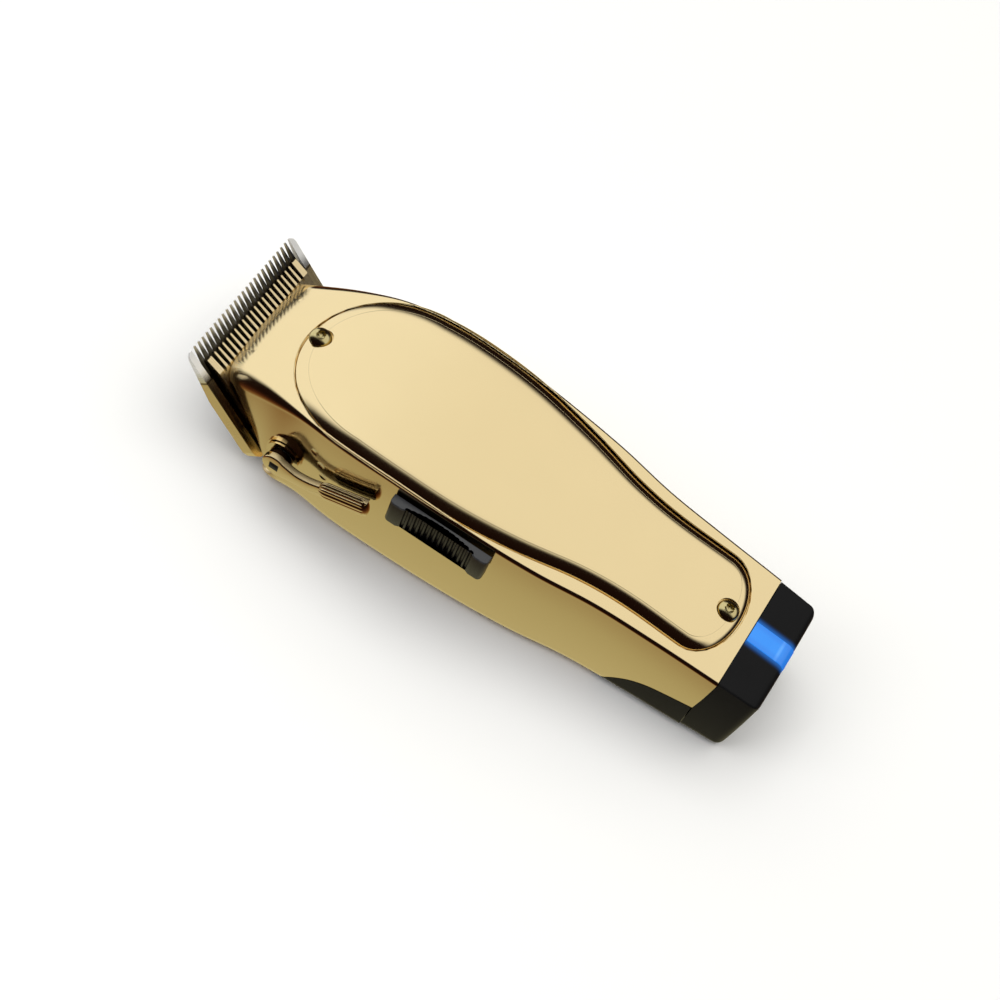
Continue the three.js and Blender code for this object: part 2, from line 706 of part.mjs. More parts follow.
function makeFixedBlade() {
  const side = [
    [0, 0],
    [0, -toothTipThickness],
    [toothRunOut, -fixedBladeThickness],
    [fixedBladeLength - fixedBladeHeelBevel, -fixedBladeThickness],
    [fixedBladeLength, -fixedBladeHeelThickness],
    [fixedBladeLength, 0],
  ];
  const slab = extruded(side, 'x', -bladeWidth / 2, bladeWidth / 2);
  const half = bladeWidth / 2;
  const plan = extruded([
    ...arc([-half + 2, 2], 2, 180, 270, 3), ...arc([half - 2, 2], 2, 270, 360, 3),
    ...arc([half - 3, fixedBladeLength - 3], 3, 0, 90, 3),
    ...arc([-half + 3, fixedBladeLength - 3], 3, 90, 180, 3),
  ], 'z', -10, 10);
  const screws = [-1, 1].flatMap((hand) => [
    rod(screwShaftRadius + gap, 'z', -10, 10, bladeScrewAt(hand), 12),
    rod(smallHeadRadius + gap, 'z', -10, smallHeadHeight - fixedBladeThickness, bladeScrewAt(hand), 16),
  ]);
  return cut(slab.intersect(plan), [
    ...toothGaps(fixedGapCount, 0, fixedGapDepth, 1.45, 0.72),
    ...screws,
  ]);
}

function makeCutter() {
  const tip = cutterTipSetback;
  const rear = tip + cutterLength;
  const low = 0.05 + gap;
  const side = [
    [tip, low], [rear, low], [rear, low + cutterThickness],
    [tip + cutterGapDepth * 0.8, low + cutterThickness], [tip, low + 0.35],
  ];
  const slab = extruded(side, 'x', -cutterWidth / 2, cutterWidth / 2);
  return cut(slab, toothGaps(cutterGapCount, tip, cutterGapDepth, 1.35, 0.9));
}

const cutterTop = 0.05 + gap + cutterThickness;

function makeDriveBlock() {
  const low = cutterTop + gap;
  const slot = armTipHalfWidth + 0.35;
  const { half, front, rear, base, height } = driveBlock;
  return joined([
    box([-half, front, low], [half, rear, low + base]),
    box([-half, front, low], [-slot, rear, low + height]),
    box([slot, front, low], [half, rear, low + height]),
  ]);
}

function makeBracket() {
  const plate = box([-20, bracket.front, bracket.low], [20, fixedBladeLength - 0.5, bracket.high]);
  const prong = (from, to) => (
    box([tongue.left, from, bracket.low], [tongue.right, to, crankPin.lift + 1.8])
  );
  const inner = crankPinRadius + gap;
  const tongueFront = crankPin.slope - tongue.half;
  const tongueRear = crankPin.slope + tongue.half;
  return cut(joined([
    plate,
    box([tongue.left, tongueFront, bracket.low], [tongue.right, tongueRear, crankPin.lift - 2.2]),
    prong(tongueFront, crankPin.slope - inner),
    prong(crankPin.slope + inner, tongueRear),
  ]), [-1, 1].map((hand) => rod(screwShaftRadius + gap, 'z', -10, 10, bladeScrewAt(hand), 12)));
}

function makeBladeScrew(hand) {
  const low = -fixedBladeThickness + smallHeadHeight - gap;
  const head = rod(smallHeadRadius, 'z', low - smallHeadHeight + 0.1, low, bladeScrewAt(hand), 16);
  const recessEnd = low - smallHeadHeight * 0.5;
  const drive = rod(smallHeadRadius * 0.45, 'z', low - 3, recessEnd, bladeScrewAt(hand), 6);
  const shaft = rod(screwShaftRadius, 'z', low - 0.2, bracket.high, bladeScrewAt(hand), 12);
  return head.add(shaft).subtract(drive);
}

/** The leaf that presses the cutter on the fixed blade: a bar on the bracket with two legs. */
function makeTensionSpring() {
  const thickness = 0.4;
  const high = bracket.high + gap;
  const low = cutterTop + gap;
  const legSide = [
    [bracket.front + 5, high], [bracket.front + 5, high + thickness], [bracket.front + 1, high + thickness],
    [bracket.front - 1.5, low + thickness], [bracket.front - 8, low + thickness],
    [bracket.front - 8, low], [bracket.front - 1.5, low], [bracket.front + 1, high],
  ];
  const legs = [[-12, -8.6], [8.6, 12]].map(([from, to]) => extruded(legSide, 'x', from, to));
  return joined([box([-12, bracket.front + 2, high], [12, bracket.front + 5, high + thickness]), ...legs]);
}

// ---------------------------------------------------------------- lever

const leverInner = leverBossFace + gap + leverWasher + gap;
const leverOuter = leverInner + leverThickness;

/** The lever's outline in its own plane, with the pivot at 0, 0 and the arm towards the rear. */
function leverOutline() {
  const curve = new THREE.SplineCurve([
    [1.5, -4.6], [6, -3.9], [11, -2.6], [16, -1.2], [leverReach - 1.2, 2.1],
  ].map(([y, z]) => new THREE.Vector2(y, z)));
  const back = new THREE.SplineCurve([
    [leverReach - 0.6, 7.2], [18, 7.0], [12, 4.4], [7, 3.0], [2.5, 4.1],
  ].map(([y, z]) => new THREE.Vector2(y, z)));
  const points = [...curve.getPoints(9), ...back.getPoints(9)].map((point) => [point.x, point.y]);
  return [...points, ...arc([0, 0], leverHubRadius, 90, 250, 8)];
}

function makeLever() {
  const outline = leverOutline().map(([y, z]) => [y + leverStation, z + leverHeight]);
  const plate = extruded(outline, 'x', leverInner, leverOuter);
  const padFrom = leverStation + 14.5;
  const padTo = leverStation + leverReach;
  const ribs = [0, 1, 2, 3].map((i) => {
    const z = -0.4 + i * 1.75;
    const rib = new THREE.CylinderGeometry(0.62, 0.62, padTo - padFrom, 8);
    rib.translate(leverOuter, (padFrom + padTo) / 2, leverHeight + z + 1);
    return solid(rib);
  });
  const tilted = ribs.map((rib) => rib.transform(new THREE.Matrix4()
    .makeTranslation(0, padFrom, leverHeight)
    .multiply(new THREE.Matrix4().makeRotationX(degrees(14)))
    .multiply(new THREE.Matrix4().makeTranslation(0, -padFrom, -leverHeight)).elements));
  const square = box(
    [leverInner - 5, leverStation - 1.3, leverHeight - 1.3],
    [leverOuter + 5, leverStation + 1.3, leverHeight + 1.3],
  );
  return cut(joined([plate, ...tilted]), [square]);
}

function makeLeverShaft() {
  const { inner, outer } = leverFlange;
  const centre = leverPivot;
  const pin = new THREE.Vector3(0, crankPin.slope, crankPin.lift).applyMatrix4(bladeFrame);
  return joined([
    rod(leverShaftRadius, 'x', inner, leverInner - gap, centre, 20),
    rod(crankRadius + crankPinRadius + 0.3, 'x', inner, outer, centre, 20),
    rod(crankPinRadius, 'x', tongue.left - 0.6, inner + 0.4, [pin.y, pin.z], 12),
    box(
      [leverInner - 1, leverStation - 1, leverHeight - 1],
      [leverOuter - 0.8, leverStation + 1, leverHeight + 1],
    ),
  ]);
}

function makeLeverWasher() {
  const inner = leverBossFace + gap;
  const ring = rod(leverHubRadius - 0.4, 'x', inner, inner + leverWasher, leverPivot, 20);
  return ring.subtract(rod(leverShaftRadius + gap, 'x', 0, 60, leverPivot, 20));
}

// ---------------------------------------------------------------- power switch

const switchBase = bodyHalfWidth + wallBulge + gap + 0.1;

/** The button's outline seen from above: a scoop with cross ribs between two raised ends. */
function makeSwitchButton() {
  const half = switchLength / 2;
  const out = switchBase + switchStand;
  const scoopHalf = half - 4;
  const ribPitch = (2 * scoopHalf) / switchRibs;
  const scoop = [];
  for (let i = 0; i < switchRibs; i += 1) {
    const at = scoopHalf - ribPitch * (i + 0.5);
    const depth = switchScoop * (1 - (at / (scoopHalf + 1)) ** 2);
    scoop.push([out - depth - 0.5, at + ribPitch * 0.5], [out - depth, at + ribPitch * 0.25]);
    scoop.push([out - depth, at - ribPitch * 0.25]);
  }
  const outline = [
    [switchBase, -half], [out - 1.2, -half], [out, -half + 1.4], [out, -scoopHalf],
    ...scoop.reverse(),
    [out, scoopHalf + 0.3], [out, half - 1.4], [out - 1.2, half], [switchBase, half],
  ].map(([x, y]) => [x, y + switchStation]);
  const low = switchHeight - switchDepth / 2;
  return extruded(outline, 'z', low, low + switchDepth);
}

function makeSwitchCarriage() {
  const plateOuter = halfWidthAt(switchStation + 12) - wall - 0.5;
  return joined([
    box(
      [plateOuter - 1.4, switchStation - 8, switchNeckCentre - 3.4],
      [plateOuter, switchStation + 8, switchNeckCentre + 0.7],
    ),
    box(
      [plateOuter - 1, switchStation - switchNeckLength / 2, switchNeckCentre - switchNeckHeight / 2],
      [switchBase - gap, switchStation + switchNeckLength / 2, switchNeckCentre + switchNeckHeight / 2],
    ),
  ]);
}

function makeSlideSwitch() {
  const outer = halfWidthAt(switchStation + 12) - wall - 0.5 - 1.4 - gap;
  return box(
    [outer - 6, switchStation - 5, switchNeckCentre - 3.6],
    [outer, switchStation + 9, switchNeckCentre + 1.5],
  );
}

// ---------------------------------------------------------------- motor and drive

const mountRear = motorFront - gap;
const mountFront = mountRear - mountThickness;
const eccentricRear = mountFront - 0.7;
const eccentricFront = eccentricRear - eccentricThickness;
const motorRear = motorFront + motorLength;
const axisPoint = [0, driveHeight];
const motorScrewX = 8;
const motorScrewAt = (side) => [side * motorScrewX, driveHeight];

function makeMotorCase() {
  return cut(joined([
    rod(motorRadius, 'y', motorFront, motorRear, axisPoint, 32),
    rod(motorBossRadius, 'y', motorFront - motorBossLength, motorFront + 1, axisPoint, 20),
  ]), [
    rod(motorShaftRadius + gap, 'y', motorFront - 10, motorFront + 12, axisPoint, 12),
    ...[-1, 1].map((side) => (
      rod(screwShaftRadius + gap, 'y', motorFront - 5, motorFront + 3.4, motorScrewAt(side), 12)
    )),
  ]);
}

function makeMotorBell() {
  return joined([
    rod(motorRadius - 0.3, 'y', motorRear + gap, motorRear + motorBellLength, axisPoint, 32),
    rod(motorBossRadius, 'y', motorRear + 1, motorRear + motorBellLength + 0.8, axisPoint, 16),
  ]);
}

function makeMotorMount() {
  const plate = box([-14, mountFront, floorThickness + gap], [14, mountRear, driveHeight + motorRadius]);
  const footLow = floorThickness + gap;
  const foot = box([-14, mountFront - 6, footLow], [14, mountRear, footLow + 1.6]);
  return cut(plate.add(foot), [
    rod(motorBossRadius + gap, 'y', 0, 90, axisPoint, 20),
    ...[-1, 1].map((side) => rod(screwShaftRadius + gap, 'y', 0, 90, motorScrewAt(side), 12)),
  ]);
}

function makeMotorScrew(side) {
  const centre = [side * motorScrewX, driveHeight];
  const headRear = mountFront - gap;
  return cut(joined([
    rod(smallHeadRadius, 'y', headRear - smallHeadHeight, headRear, centre, 16),
    rod(screwShaftRadius, 'y', headRear - 0.2, motorFront + 3, centre, 12),
  ]), [rod(smallHeadRadius * 0.45, 'y', 0, headRear - smallHeadHeight * 0.5, centre, 6)]);
}

function makeEccentric() {
  const eccentricPinTip = eccentricFront - eccentricPinLength;
  return cut(joined([
    rod(eccentricRadius, 'y', eccentricFront, eccentricRear, axisPoint, 24),
    rod(eccentricPinRadius, 'y', eccentricPinTip, eccentricFront + 0.5, [eccentricOffset, driveHeight], 14),
  ]), [rod(motorShaftRadius + gap, 'y', eccentricFront + 1, 90, axisPoint, 12)]);
}

function makeMotorShaft() {
  const front = eccentricFront + 1 + gap;
  return rod(motorShaftRadius, 'y', front, motorFront + 11.5, axisPoint, 12);
}

function makeDriveArm() {
  const low = driveHeight - armThickness / 2;
  const tineEnd = eccentricFront - 0.6;
  const slot = eccentricPinRadius + 2 * eccentricOffset + 0.4;
  const tineRoot = armPivotStation + armPinRadius + 2;
  const plan = [
    [-armTipHalfWidth, armTip], [armTipHalfWidth, armTip], [armTipHalfWidth, armTip + 5],
    [4, armPivotStation - 3], [slot + 2, tineRoot], [slot + 2, tineEnd], [slot, tineEnd],
    [slot, tineRoot], [-slot, tineRoot], [-slot, tineEnd], [-slot - 2, tineEnd],
    [-slot - 2, tineRoot], [-4, armPivotStation - 3],
    [-armTipHalfWidth, armTip + 5],
  ];
  return extruded(plan, 'z', low, low + armThickness)
    .subtract(rod(armPinRadius + gap, 'z', 0, 60, [0, armPivotStation], 20));
}

function makeArmPin() {
  return rod(armPinRadius, 'z', 5 + gap, driveHeight + armThickness / 2 + 2, [0, armPivotStation], 16);
}

// ---------------------------------------------------------------- battery and board

const cellFront = motorRear + motorBellLength + cellFrontGap;
const cellRear = seam - cellRearGap;
const cellAxis = [0, cellHeight];
const boardFront = cellFront + 4;
const boardRear = seam + 5.5;
const boardTop = boardHeight + boardThickness;

/** A block of the given [x, y, z] size that stands on the board at a station. */
function onBoard(station, [across, along, height]) {
  const low = boardTop + gap;
  return box([-across / 2, station - along / 2, low], [across / 2, station + along / 2, low + height]);
}

const cradleRear = coverScrewStation - 3.3;
const boardScrews = [[10.2, boardFront + 4], [-10.2, cradleRear - 4]];

function makeCell() {
  return joined([
    rod(cellRadius, 'y', cellFront, cellRear - 1, cellAxis, 28),
    rod(3, 'y', cellRear - 2, cellRear, cellAxis, 14),
  ]);
}

function makeCradle() {
  const block = box(
    [-cradleHalfWidth, boardFront, cellHeight - 3],
    [cradleHalfWidth, cradleRear, boardHeight - gap],
  );
  const cellBore = rod(cellRadius + gap, 'y', 0, 200, cellAxis, 28);
  const opening = box([-cellRadius + 0.4, 0, 0], [cellRadius - 0.4, 200, cellHeight]);
  return cut(block, [
    cellBore,
    opening,
    ...boardScrews.map((at) => rod(screwShaftRadius + gap, 'z', boardHeight - 5, 60, at, 12)),
  ]);
}

function makeTab(front) {
  const y = front ? cellFront - gap - 0.4 : cellRear + gap;
  return box([-3, y, cellHeight - 3], [3, y + 0.4, boardHeight - gap]);
}

function makeBoard() {
  const plate = box([-boardHalfWidth, boardFront, boardHeight], [boardHalfWidth, boardRear, boardTop]);
  return cut(plate, boardScrews.map((at) => rod(screwShaftRadius + gap, 'z', 0, 60, at, 12)));
}

// ---------------------------------------------------------------- assembly

function atStation(mesh, x, station, z) {
  mesh.position.set(x, station, z);
  return mesh;
}

const clipper = new THREE.Group();
clipper.position.y = -originStation;

const casing = [
  piece('housing', makeHousing(), gold),
  piece('lid', makeLid(), gold),
  ...Object.entries(lidScrewStations).map(([end, station]) => atStation(
    piece(`lid_screw_${end}`, buttonScrew(screwHeadRadius, screwHeadHeight, screwLength), gold),
    0, station, lidScrewSeat(station) + gap,
  )),
  piece('bottom_cover', makeBottomCover(), blackPlastic),
  piece('end_cap', makeEndCap(), blackPlastic),
  piece('light_guide', makeLightGuide(), blueGlow),
  piece('charge_socket', makeChargeSocket(), greyPlastic),
  piece('charge_pin', makeChargePin(), nickel),
];

const sides = [[-1, 'left'], [1, 'right']];
const coverScrews = sides.map(([side, name]) => {
  const mesh = piece(`cover_screw_${name}`, buttonScrew(smallHeadRadius, smallHeadHeight, 14), darkSteel);
  mesh.rotation.x = Math.PI;
  return atStation(mesh, side * coverScrewX, coverScrewStation, smallHeadHeight + 0.2);
});
const capScrews = sides.map(([side, name]) => {
  const mesh = piece(`cap_screw_${name}`, buttonScrew(smallHeadRadius, smallHeadHeight, 10), darkSteel);
  mesh.rotation.x = -Math.PI / 2;
  return atStation(mesh, side * capScrewX, capEnd - 5.2 + gap, capScrewHeight);
});

const power = [
  piece('battery_cell', makeCell(), cellSleeve),
  piece('battery_cradle', makeCradle(), greyPlastic),
  piece('battery_tab_front', makeTab(true), nickel),
  piece('battery_tab_rear', makeTab(false), nickel),
  piece('circuit_board', makeBoard(), boardGreen),
  piece('driver_chip', onBoard(boardFront + 17, [6, 6, 1.4 - gap]), blackPlastic),
  piece('charge_chip', onBoard(seam - 23.5, [5, 5, 1.4 - gap]), blackPlastic),
  piece('capacitor', rod(2.4, 'z', boardTop + gap, boardTop + 4, [6.5, boardFront + 28], 14), darkSteel),
  piece('status_led', onBoard(seam + 3.2, [3.2, 2, 1.6 - gap]), whitePlastic),
  ...boardScrews.map((at, i) => atStation(
    piece(`board_screw_${i + 1}`, buttonScrew(smallHeadRadius, smallHeadHeight, 5), darkSteel),
    at[0], at[1], boardTop + gap,
  )),
];

const motor = [
  piece('motor_case', makeMotorCase(), darkSteel),
  piece('motor_end_bell', makeMotorBell(), greyPlastic),
  piece('motor_mount', makeMotorMount(), darkSteel),
  ...sides.map(([side, name]) => piece(`motor_screw_${name}`, makeMotorScrew(side), darkSteel)),
  piece('motor_shaft', makeMotorShaft(), steel),
  piece('motor_eccentric', makeEccentric(), brass),
  piece('drive_arm', makeDriveArm(), whitePlastic),
  piece('arm_pivot_pin', makeArmPin(), steel),
];

const control = [
  piece('taper_lever', makeLever(), gold),
  piece('lever_shaft', makeLeverShaft(), steel),
  piece('lever_washer', makeLeverWasher(), steel),
  piece('switch_button', makeSwitchButton(), blackPlastic),
  piece('switch_carriage', makeSwitchCarriage(), greyPlastic),
  piece('slide_switch', makeSlideSwitch(), darkSteel),
];

const bladeSet = new THREE.Group();
bladeSet.applyMatrix4(bladeFrame);
bladeSet.add(
  piece('fixed_blade', makeFixedBlade(), steel),
  piece('cutter', makeCutter(), steel),
  piece('cutter_drive_block', makeDriveBlock(), whitePlastic),
  piece('blade_bracket', makeBracket(), darkSteel),
  ...sides.map(([side, name]) => piece(`blade_screw_${name}`, makeBladeScrew(side), steel)),
  piece('tension_spring', makeTensionSpring(), steel),
);

clipper.add(...casing, ...coverScrews, ...capScrews, ...power, ...motor, ...control, bladeSet);

export default clipper;
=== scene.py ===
"""Hair clipper: smooth skins, finishes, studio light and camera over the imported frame."""
import json
import math

import bpy
import bmesh
import numpy as np
from mathutils import Matrix, Vector


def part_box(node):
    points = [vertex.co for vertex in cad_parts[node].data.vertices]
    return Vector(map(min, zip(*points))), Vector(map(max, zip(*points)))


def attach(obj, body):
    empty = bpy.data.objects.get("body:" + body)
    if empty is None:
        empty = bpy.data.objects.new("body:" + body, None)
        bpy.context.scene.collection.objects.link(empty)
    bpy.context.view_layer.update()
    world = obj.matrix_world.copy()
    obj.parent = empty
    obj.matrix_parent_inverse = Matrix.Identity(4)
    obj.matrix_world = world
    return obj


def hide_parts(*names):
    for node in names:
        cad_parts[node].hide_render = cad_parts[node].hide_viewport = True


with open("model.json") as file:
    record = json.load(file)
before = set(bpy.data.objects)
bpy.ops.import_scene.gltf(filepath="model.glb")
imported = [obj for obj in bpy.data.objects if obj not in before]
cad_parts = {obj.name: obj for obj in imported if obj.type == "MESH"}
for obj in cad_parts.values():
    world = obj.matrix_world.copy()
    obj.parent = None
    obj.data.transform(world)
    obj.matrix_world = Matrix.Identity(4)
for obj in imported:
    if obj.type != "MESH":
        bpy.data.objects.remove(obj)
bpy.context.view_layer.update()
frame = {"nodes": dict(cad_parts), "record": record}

bl_info = {
    "name": "Hair Clipper",
    "version": (1, 0, 0),
    "blender": (4, 5, 0),
    "location": "View3D > Sidebar > Clipper",
    "description": "Builds the skins, finishes, light and camera of a cordless hair clipper",
    "category": "Object",
}

# Sizes below are in millimetres. A station is the distance behind the tips of the fixed blade.
ORIGIN_STATION = 81.0
SEAM = 151.0
HALF_WIDTH = 24.4
SHOULDER = 36.6
WIDTH_SHARES = [
    (0, 0.70), (0.066, 0.745), (0.172, 0.865), (0.298, 0.985), (0.40, 1), (0.543, 0.975),
    (0.662, 0.912), (0.768, 0.81), (0.874, 0.762), (1, 0.722), (1.1, 0.69),
]
SHOULDER_SHARES = [
    (0, 0.50), (0.061, 0.70), (0.119, 0.826), (0.172, 0.902), (0.225, 0.954), (0.331, 1),
    (0.437, 0.994), (0.596, 0.937), (0.755, 0.885), (0.914, 0.833), (1, 0.801), (1.1, 0.76),
]
LID_MARGINS = [
    (0.311, 0.75), (0.40, 0.5), (0.497, 0.85), (0.609, 2.5), (0.695, 4.1), (0.762, 4.25),
    (0.828, 4.05), (0.914, 3.3), (1, 3.0),
]
COVER_EDGE = [(28, -0.01), (25.4, 1.6), (21.7, 6.2), (18.1, 9.5), (14, 11.6), (9.7, 12.7), (1.5, 14.2)]
CAP_SKIRT = [(0, 1.5), (14.2, 1.5), (20.6, 0.7), (28, 0), (60, 0)]
BOTTOM_RADIUS = 4.0
FRONT_SHOULDER_RADIUS = 5
REAR_SHOULDER_RADIUS = 0.9
HEEL_FLARE = 1.9
HEEL_STATION = 28
HEEL_SPREAD = 6
WALL_BULGE = 0.45
CROWN = 0.7
SKIN = 0.12
TOP_ARC = math.radians(86.7)
LID_FRONT = 20.4
LID_FRONT_REACH = 26.6
LID_REAR = SEAM - 3.3
LID_REAR_REACH = 9.7
SPINE = (LID_FRONT + LID_FRONT_REACH, LID_REAR - LID_REAR_REACH)
LID_GAP = 0.32
LID_EDGE_RADIUS = 0.25
LID_CROWN = 2.1
LID_SIDE_DROP = 2.6
LID_END_DROP = 1.7
LID_ROLL = 8
LID_WALL = 1.35
SCREW_STATIONS = {"front": 23.4, "rear": SEAM - 7.4}
SCREW_SINK = 0.9
SCREW_SEAT_RADIUS = 3.15
SCREW_HEAD_RADIUS = 2.95
SCREW_HEAD_HEIGHT = 2.15
BLADE_ANGLE = math.radians(45.9)
TIP_HEIGHT = 30.7
# Heights over the blade's lower plane, and distances down its slope from the tips.
LIP_LIFT = 2.25
SEAT_LIFT = 3.2
HEEL_LIFT = -2.6
HEEL_SLOPE = 36 + 2.46 + 0.9
LIP_END = (12.8, 13.4)
CAP_LENGTH = 11.9
CAP_END = SEAM + CAP_LENGTH
CAP_INSET = 0.3
CAP_ROUNDING = 2.4
CAP_LEAN = 0.07
SOCKET_HEIGHT = 12.5
SOCKET_RADIUS = 4.3
GUIDE_HALF = 3.1
GUIDE_LIFT = 0.14
GUIDE_END = 20.9
# How far the guide's light reaches over the cap, in metres.
HALO_REACH = 0.0022
# Colours of the studio below the horizon, by depth: 0 is level and 1 is straight down.
GROUND = [
    (0.0, (0.010, 0.004, 0.003)), (0.18, (0.016, 0.006, 0.004)), (0.45, (0.08, 0.025, 0.010)),
    (0.68, (0.23, 0.12, 0.045)), (0.85, (0.47, 0.43, 0.25)), (1.0, (0.57, 0.53, 0.33)),
]
LEVER_PIVOT = (31.3, 17.5)
# Length of the teeth's bright ground part along the blade's slope.
GROUND_TEETH = 9.2
# Half-width over the teeth inside the two corner ones, in metres.
INNER_TEETH = 0.0207
# The wall's dimples: distance from the lever's pivot, and angle.
DIMPLES = [(11.8, angle) for angle in (10, 30, 50)]
DIMPLE_RADIUS = 0.00115
LEVER_STAND = 1.3
LEVER_REACH = 3.4
HUB_RADIUS = 3.5
PAD_HALF_DEPTH = 1.8
PAD_HALF_HEIGHT = 2.9
PAD_FLUTES = 14
SWITCH_STATION = 75.7
SWITCH_HEIGHT = 29.9
CAMERA_TARGET = (0.00236, 0.00064, 0.020)


# ------------ curves and grids


def curve_through(points):
    """A smooth function through points: each span is a cubic whose end slopes are those of the
    chords between the neighbouring points."""
    at, value = np.array(points, float).T
    before = np.maximum(np.arange(len(at)) - 1, 0)
    after = np.minimum(np.arange(len(at)) + 1, len(at) - 1)
    slope = (value[after] - value[before]) / (at[after] - at[before])

    def evaluate(position):
        position = np.asarray(position, float)
        i = np.clip(np.searchsorted(at, position, side="left") - 1, 0, len(at) - 2)
        span = at[i + 1] - at[i]
        t = np.clip((position - at[i]) / span, 0, 1)
        rest = (2 * t**3 - 3 * t**2 + 1) * value[i] + (3 * t**2 - 2 * t**3) * value[i + 1]
        return rest + span * ((t**3 - 2 * t**2 + t) * slope[i] + (t**3 - t**2) * slope[i + 1])

    return evaluate


def scaled(shares, size):
    """A curve whose stations are shares of the body's length and whose values are shares of a size."""
    return curve_through([(at * SEAM, share * size) for at, share in shares])


half_width = scaled(WIDTH_SHARES, HALF_WIDTH)
shoulder_height = scaled(SHOULDER_SHARES, SHOULDER)
lid_margin = curve_through([(at * SEAM, margin) for at, margin in LID_MARGINS])
cover_edge = curve_through([(SEAM - before, height) for before, height in COVER_EDGE])


def smoothstep(value, low, high):
    """0 below low, 1 above high, and 3 t^2 - 2 t^3 between them."""
    t = np.clip((value - low) / (high - low), 0, 1)
    return t * t * (3 - 2 * t)


def flare(station):
    """How far the heel stands out: a bell curve around one station."""
    return HEEL_FLARE * np.exp(-(((station - HEEL_STATION) / HEEL_SPREAD) ** 2))


def shoulder_radius(station):
    change = REAR_SHOULDER_RADIUS - FRONT_SHOULDER_RADIUS
    return FRONT_SHOULDER_RADIUS + change * smoothstep(station, 10, 38)


def in_frame(grid):
    """Points in station millimetres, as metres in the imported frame."""
    grid = np.array(grid, float)
    grid[..., 1] -= ORIGIN_STATION
    return grid * 0.001


def quads(rows, columns, wrap=False):
    """Corner indices of the cells of a grid, row by row."""
    index = np.arange(rows * columns).reshape(rows, columns)
    if wrap:
        index = np.hstack([index, index[:, :1]])
    corners = (index[:-1, :-1], index[1:, :-1], index[1:, 1:], index[:-1, 1:])
    return np.stack([corner.ravel() for corner in corners], axis=1)


def linked(name, data):
    """A new object that holds the data, linked to the scene."""
    thing = bpy.data.objects.new(name, data)
    bpy.context.scene.collection.objects.link(thing)
    return thing


def closed_and_outward(mesh, weld=False):
    """Turns the faces of a mesh the same way, and first welds its seams and poles where asked."""
    clean = bmesh.new()
    clean.from_mesh(mesh)
    if weld:
        bmesh.ops.remove_doubles(clean, verts=clean.verts, dist=2e-6)
        bmesh.ops.dissolve_degenerate(clean, edges=clean.edges, dist=1e-7)
    bmesh.ops.recalc_face_normals(clean, faces=clean.faces)
    clean.to_mesh(mesh)
    clean.free()


def make_piece(name, parts, finish, body, replaced=(), edge=None):
    """One mesh from several grids: parts holds (points, faces) pairs, in station millimetres, and
    edge gives each point's distance from the rim."""
    points = np.concatenate([part[0].reshape(-1, 3) for part in parts])
    offsets = np.cumsum([0] + [part[0].reshape(-1, 3).shape[0] for part in parts])
    faces = [face for part, start in zip(parts, offsets) for face in shifted(part[1], start)]
    mesh = bpy.data.meshes.new(name)
    mesh.from_pydata(in_frame(points).tolist(), [], faces)
    if edge is not None:
        layer = mesh.attributes.new("edge_mm", "FLOAT", "POINT")
        layer.data.foreach_set("value", np.asarray(edge, np.float32).ravel())
    piece = linked(name, mesh)
    closed_and_outward(mesh, weld=True)
    mesh.shade_smooth()
    mesh.materials.append(MATERIALS[finish])
    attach(piece, body)
    if replaced:
        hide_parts(*replaced)
    return piece


def shifted(faces, start):
    """Faces as lists, their corners counted from a start."""
    if isinstance(faces, np.ndarray):
        return (faces + start).tolist()
    return [[corner + start for corner in face] for face in faces]


def grid_part(points, wrap=False):
    """A grid of points with its cells, joined round where asked."""
    return points, quads(points.shape[0], points.shape[1], wrap)


def mirrored(part):
    """The same grid on the other side of the middle plane."""
    points, faces = part
    return points * np.array([-1.0, 1.0, 1.0]), faces[:, ::-1]


def both_halves(points):
    """A half grid and its mirror image."""
    side = grid_part(points)
    return [side, mirrored(side)]


def turn_outward(piece, inside):
    """Turns the faces of an open skin so that on the whole they look away from a point inside."""
    mesh = piece.data
    normals = np.zeros(len(mesh.polygons) * 3)
    mesh.polygons.foreach_get("normal", normals)
    centres = np.zeros(len(mesh.polygons) * 3)
    mesh.polygons.foreach_get("center", centres)
    away = centres.reshape(-1, 3) - np.array(inside)
    if np.mean(np.sum(normals.reshape(-1, 3) * away, axis=1)) < 0:
        mesh.flip_normals()


def sharpen(piece, degrees):
    """Marks the edges whose faces meet at more than an angle."""
    piece.data.set_sharp_from_angle(angle=math.radians(degrees))


def places(*counts):
    """Values of w round the section: a count of equal steps for each unit, the last one closed."""
    last = len(counts) - 1
    return np.concatenate([
        np.linspace(start, start + 1, count, endpoint=start == last)
        for start, count in enumerate(counts)
    ])


def rolled_edge(grid, row, radius, depth):
    """Rows added beyond one end row of a grid: they turn through a quarter circle from the
    surface towards its inside, and then run in by a depth."""
    first, second = (grid[0], grid[1]) if row == 0 else (grid[-1], grid[-2])
    ahead = unit(first - second)
    along = unit(np.gradient(first, axis=0))
    inward = np.cross(ahead, along)
    centre = np.array([0, first[:, 1].mean(), 16.0])
    sign = np.sign(np.sum(inward * (centre - first) * np.array([1, 0, 1]), axis=-1, keepdims=True))
    inward = inward * np.where(sign == 0, 1, sign)
    angles = np.radians([30, 60, 90])
    added = [first + radius * (np.sin(a) * ahead + (1 - np.cos(a)) * inward) for a in angles]
    added.append(added[-1] + depth * inward)
    if row == 0:
        return np.concatenate([np.array(added[::-1]), grid])
    return np.concatenate([grid, np.array(added)])


# ------------ the body's section


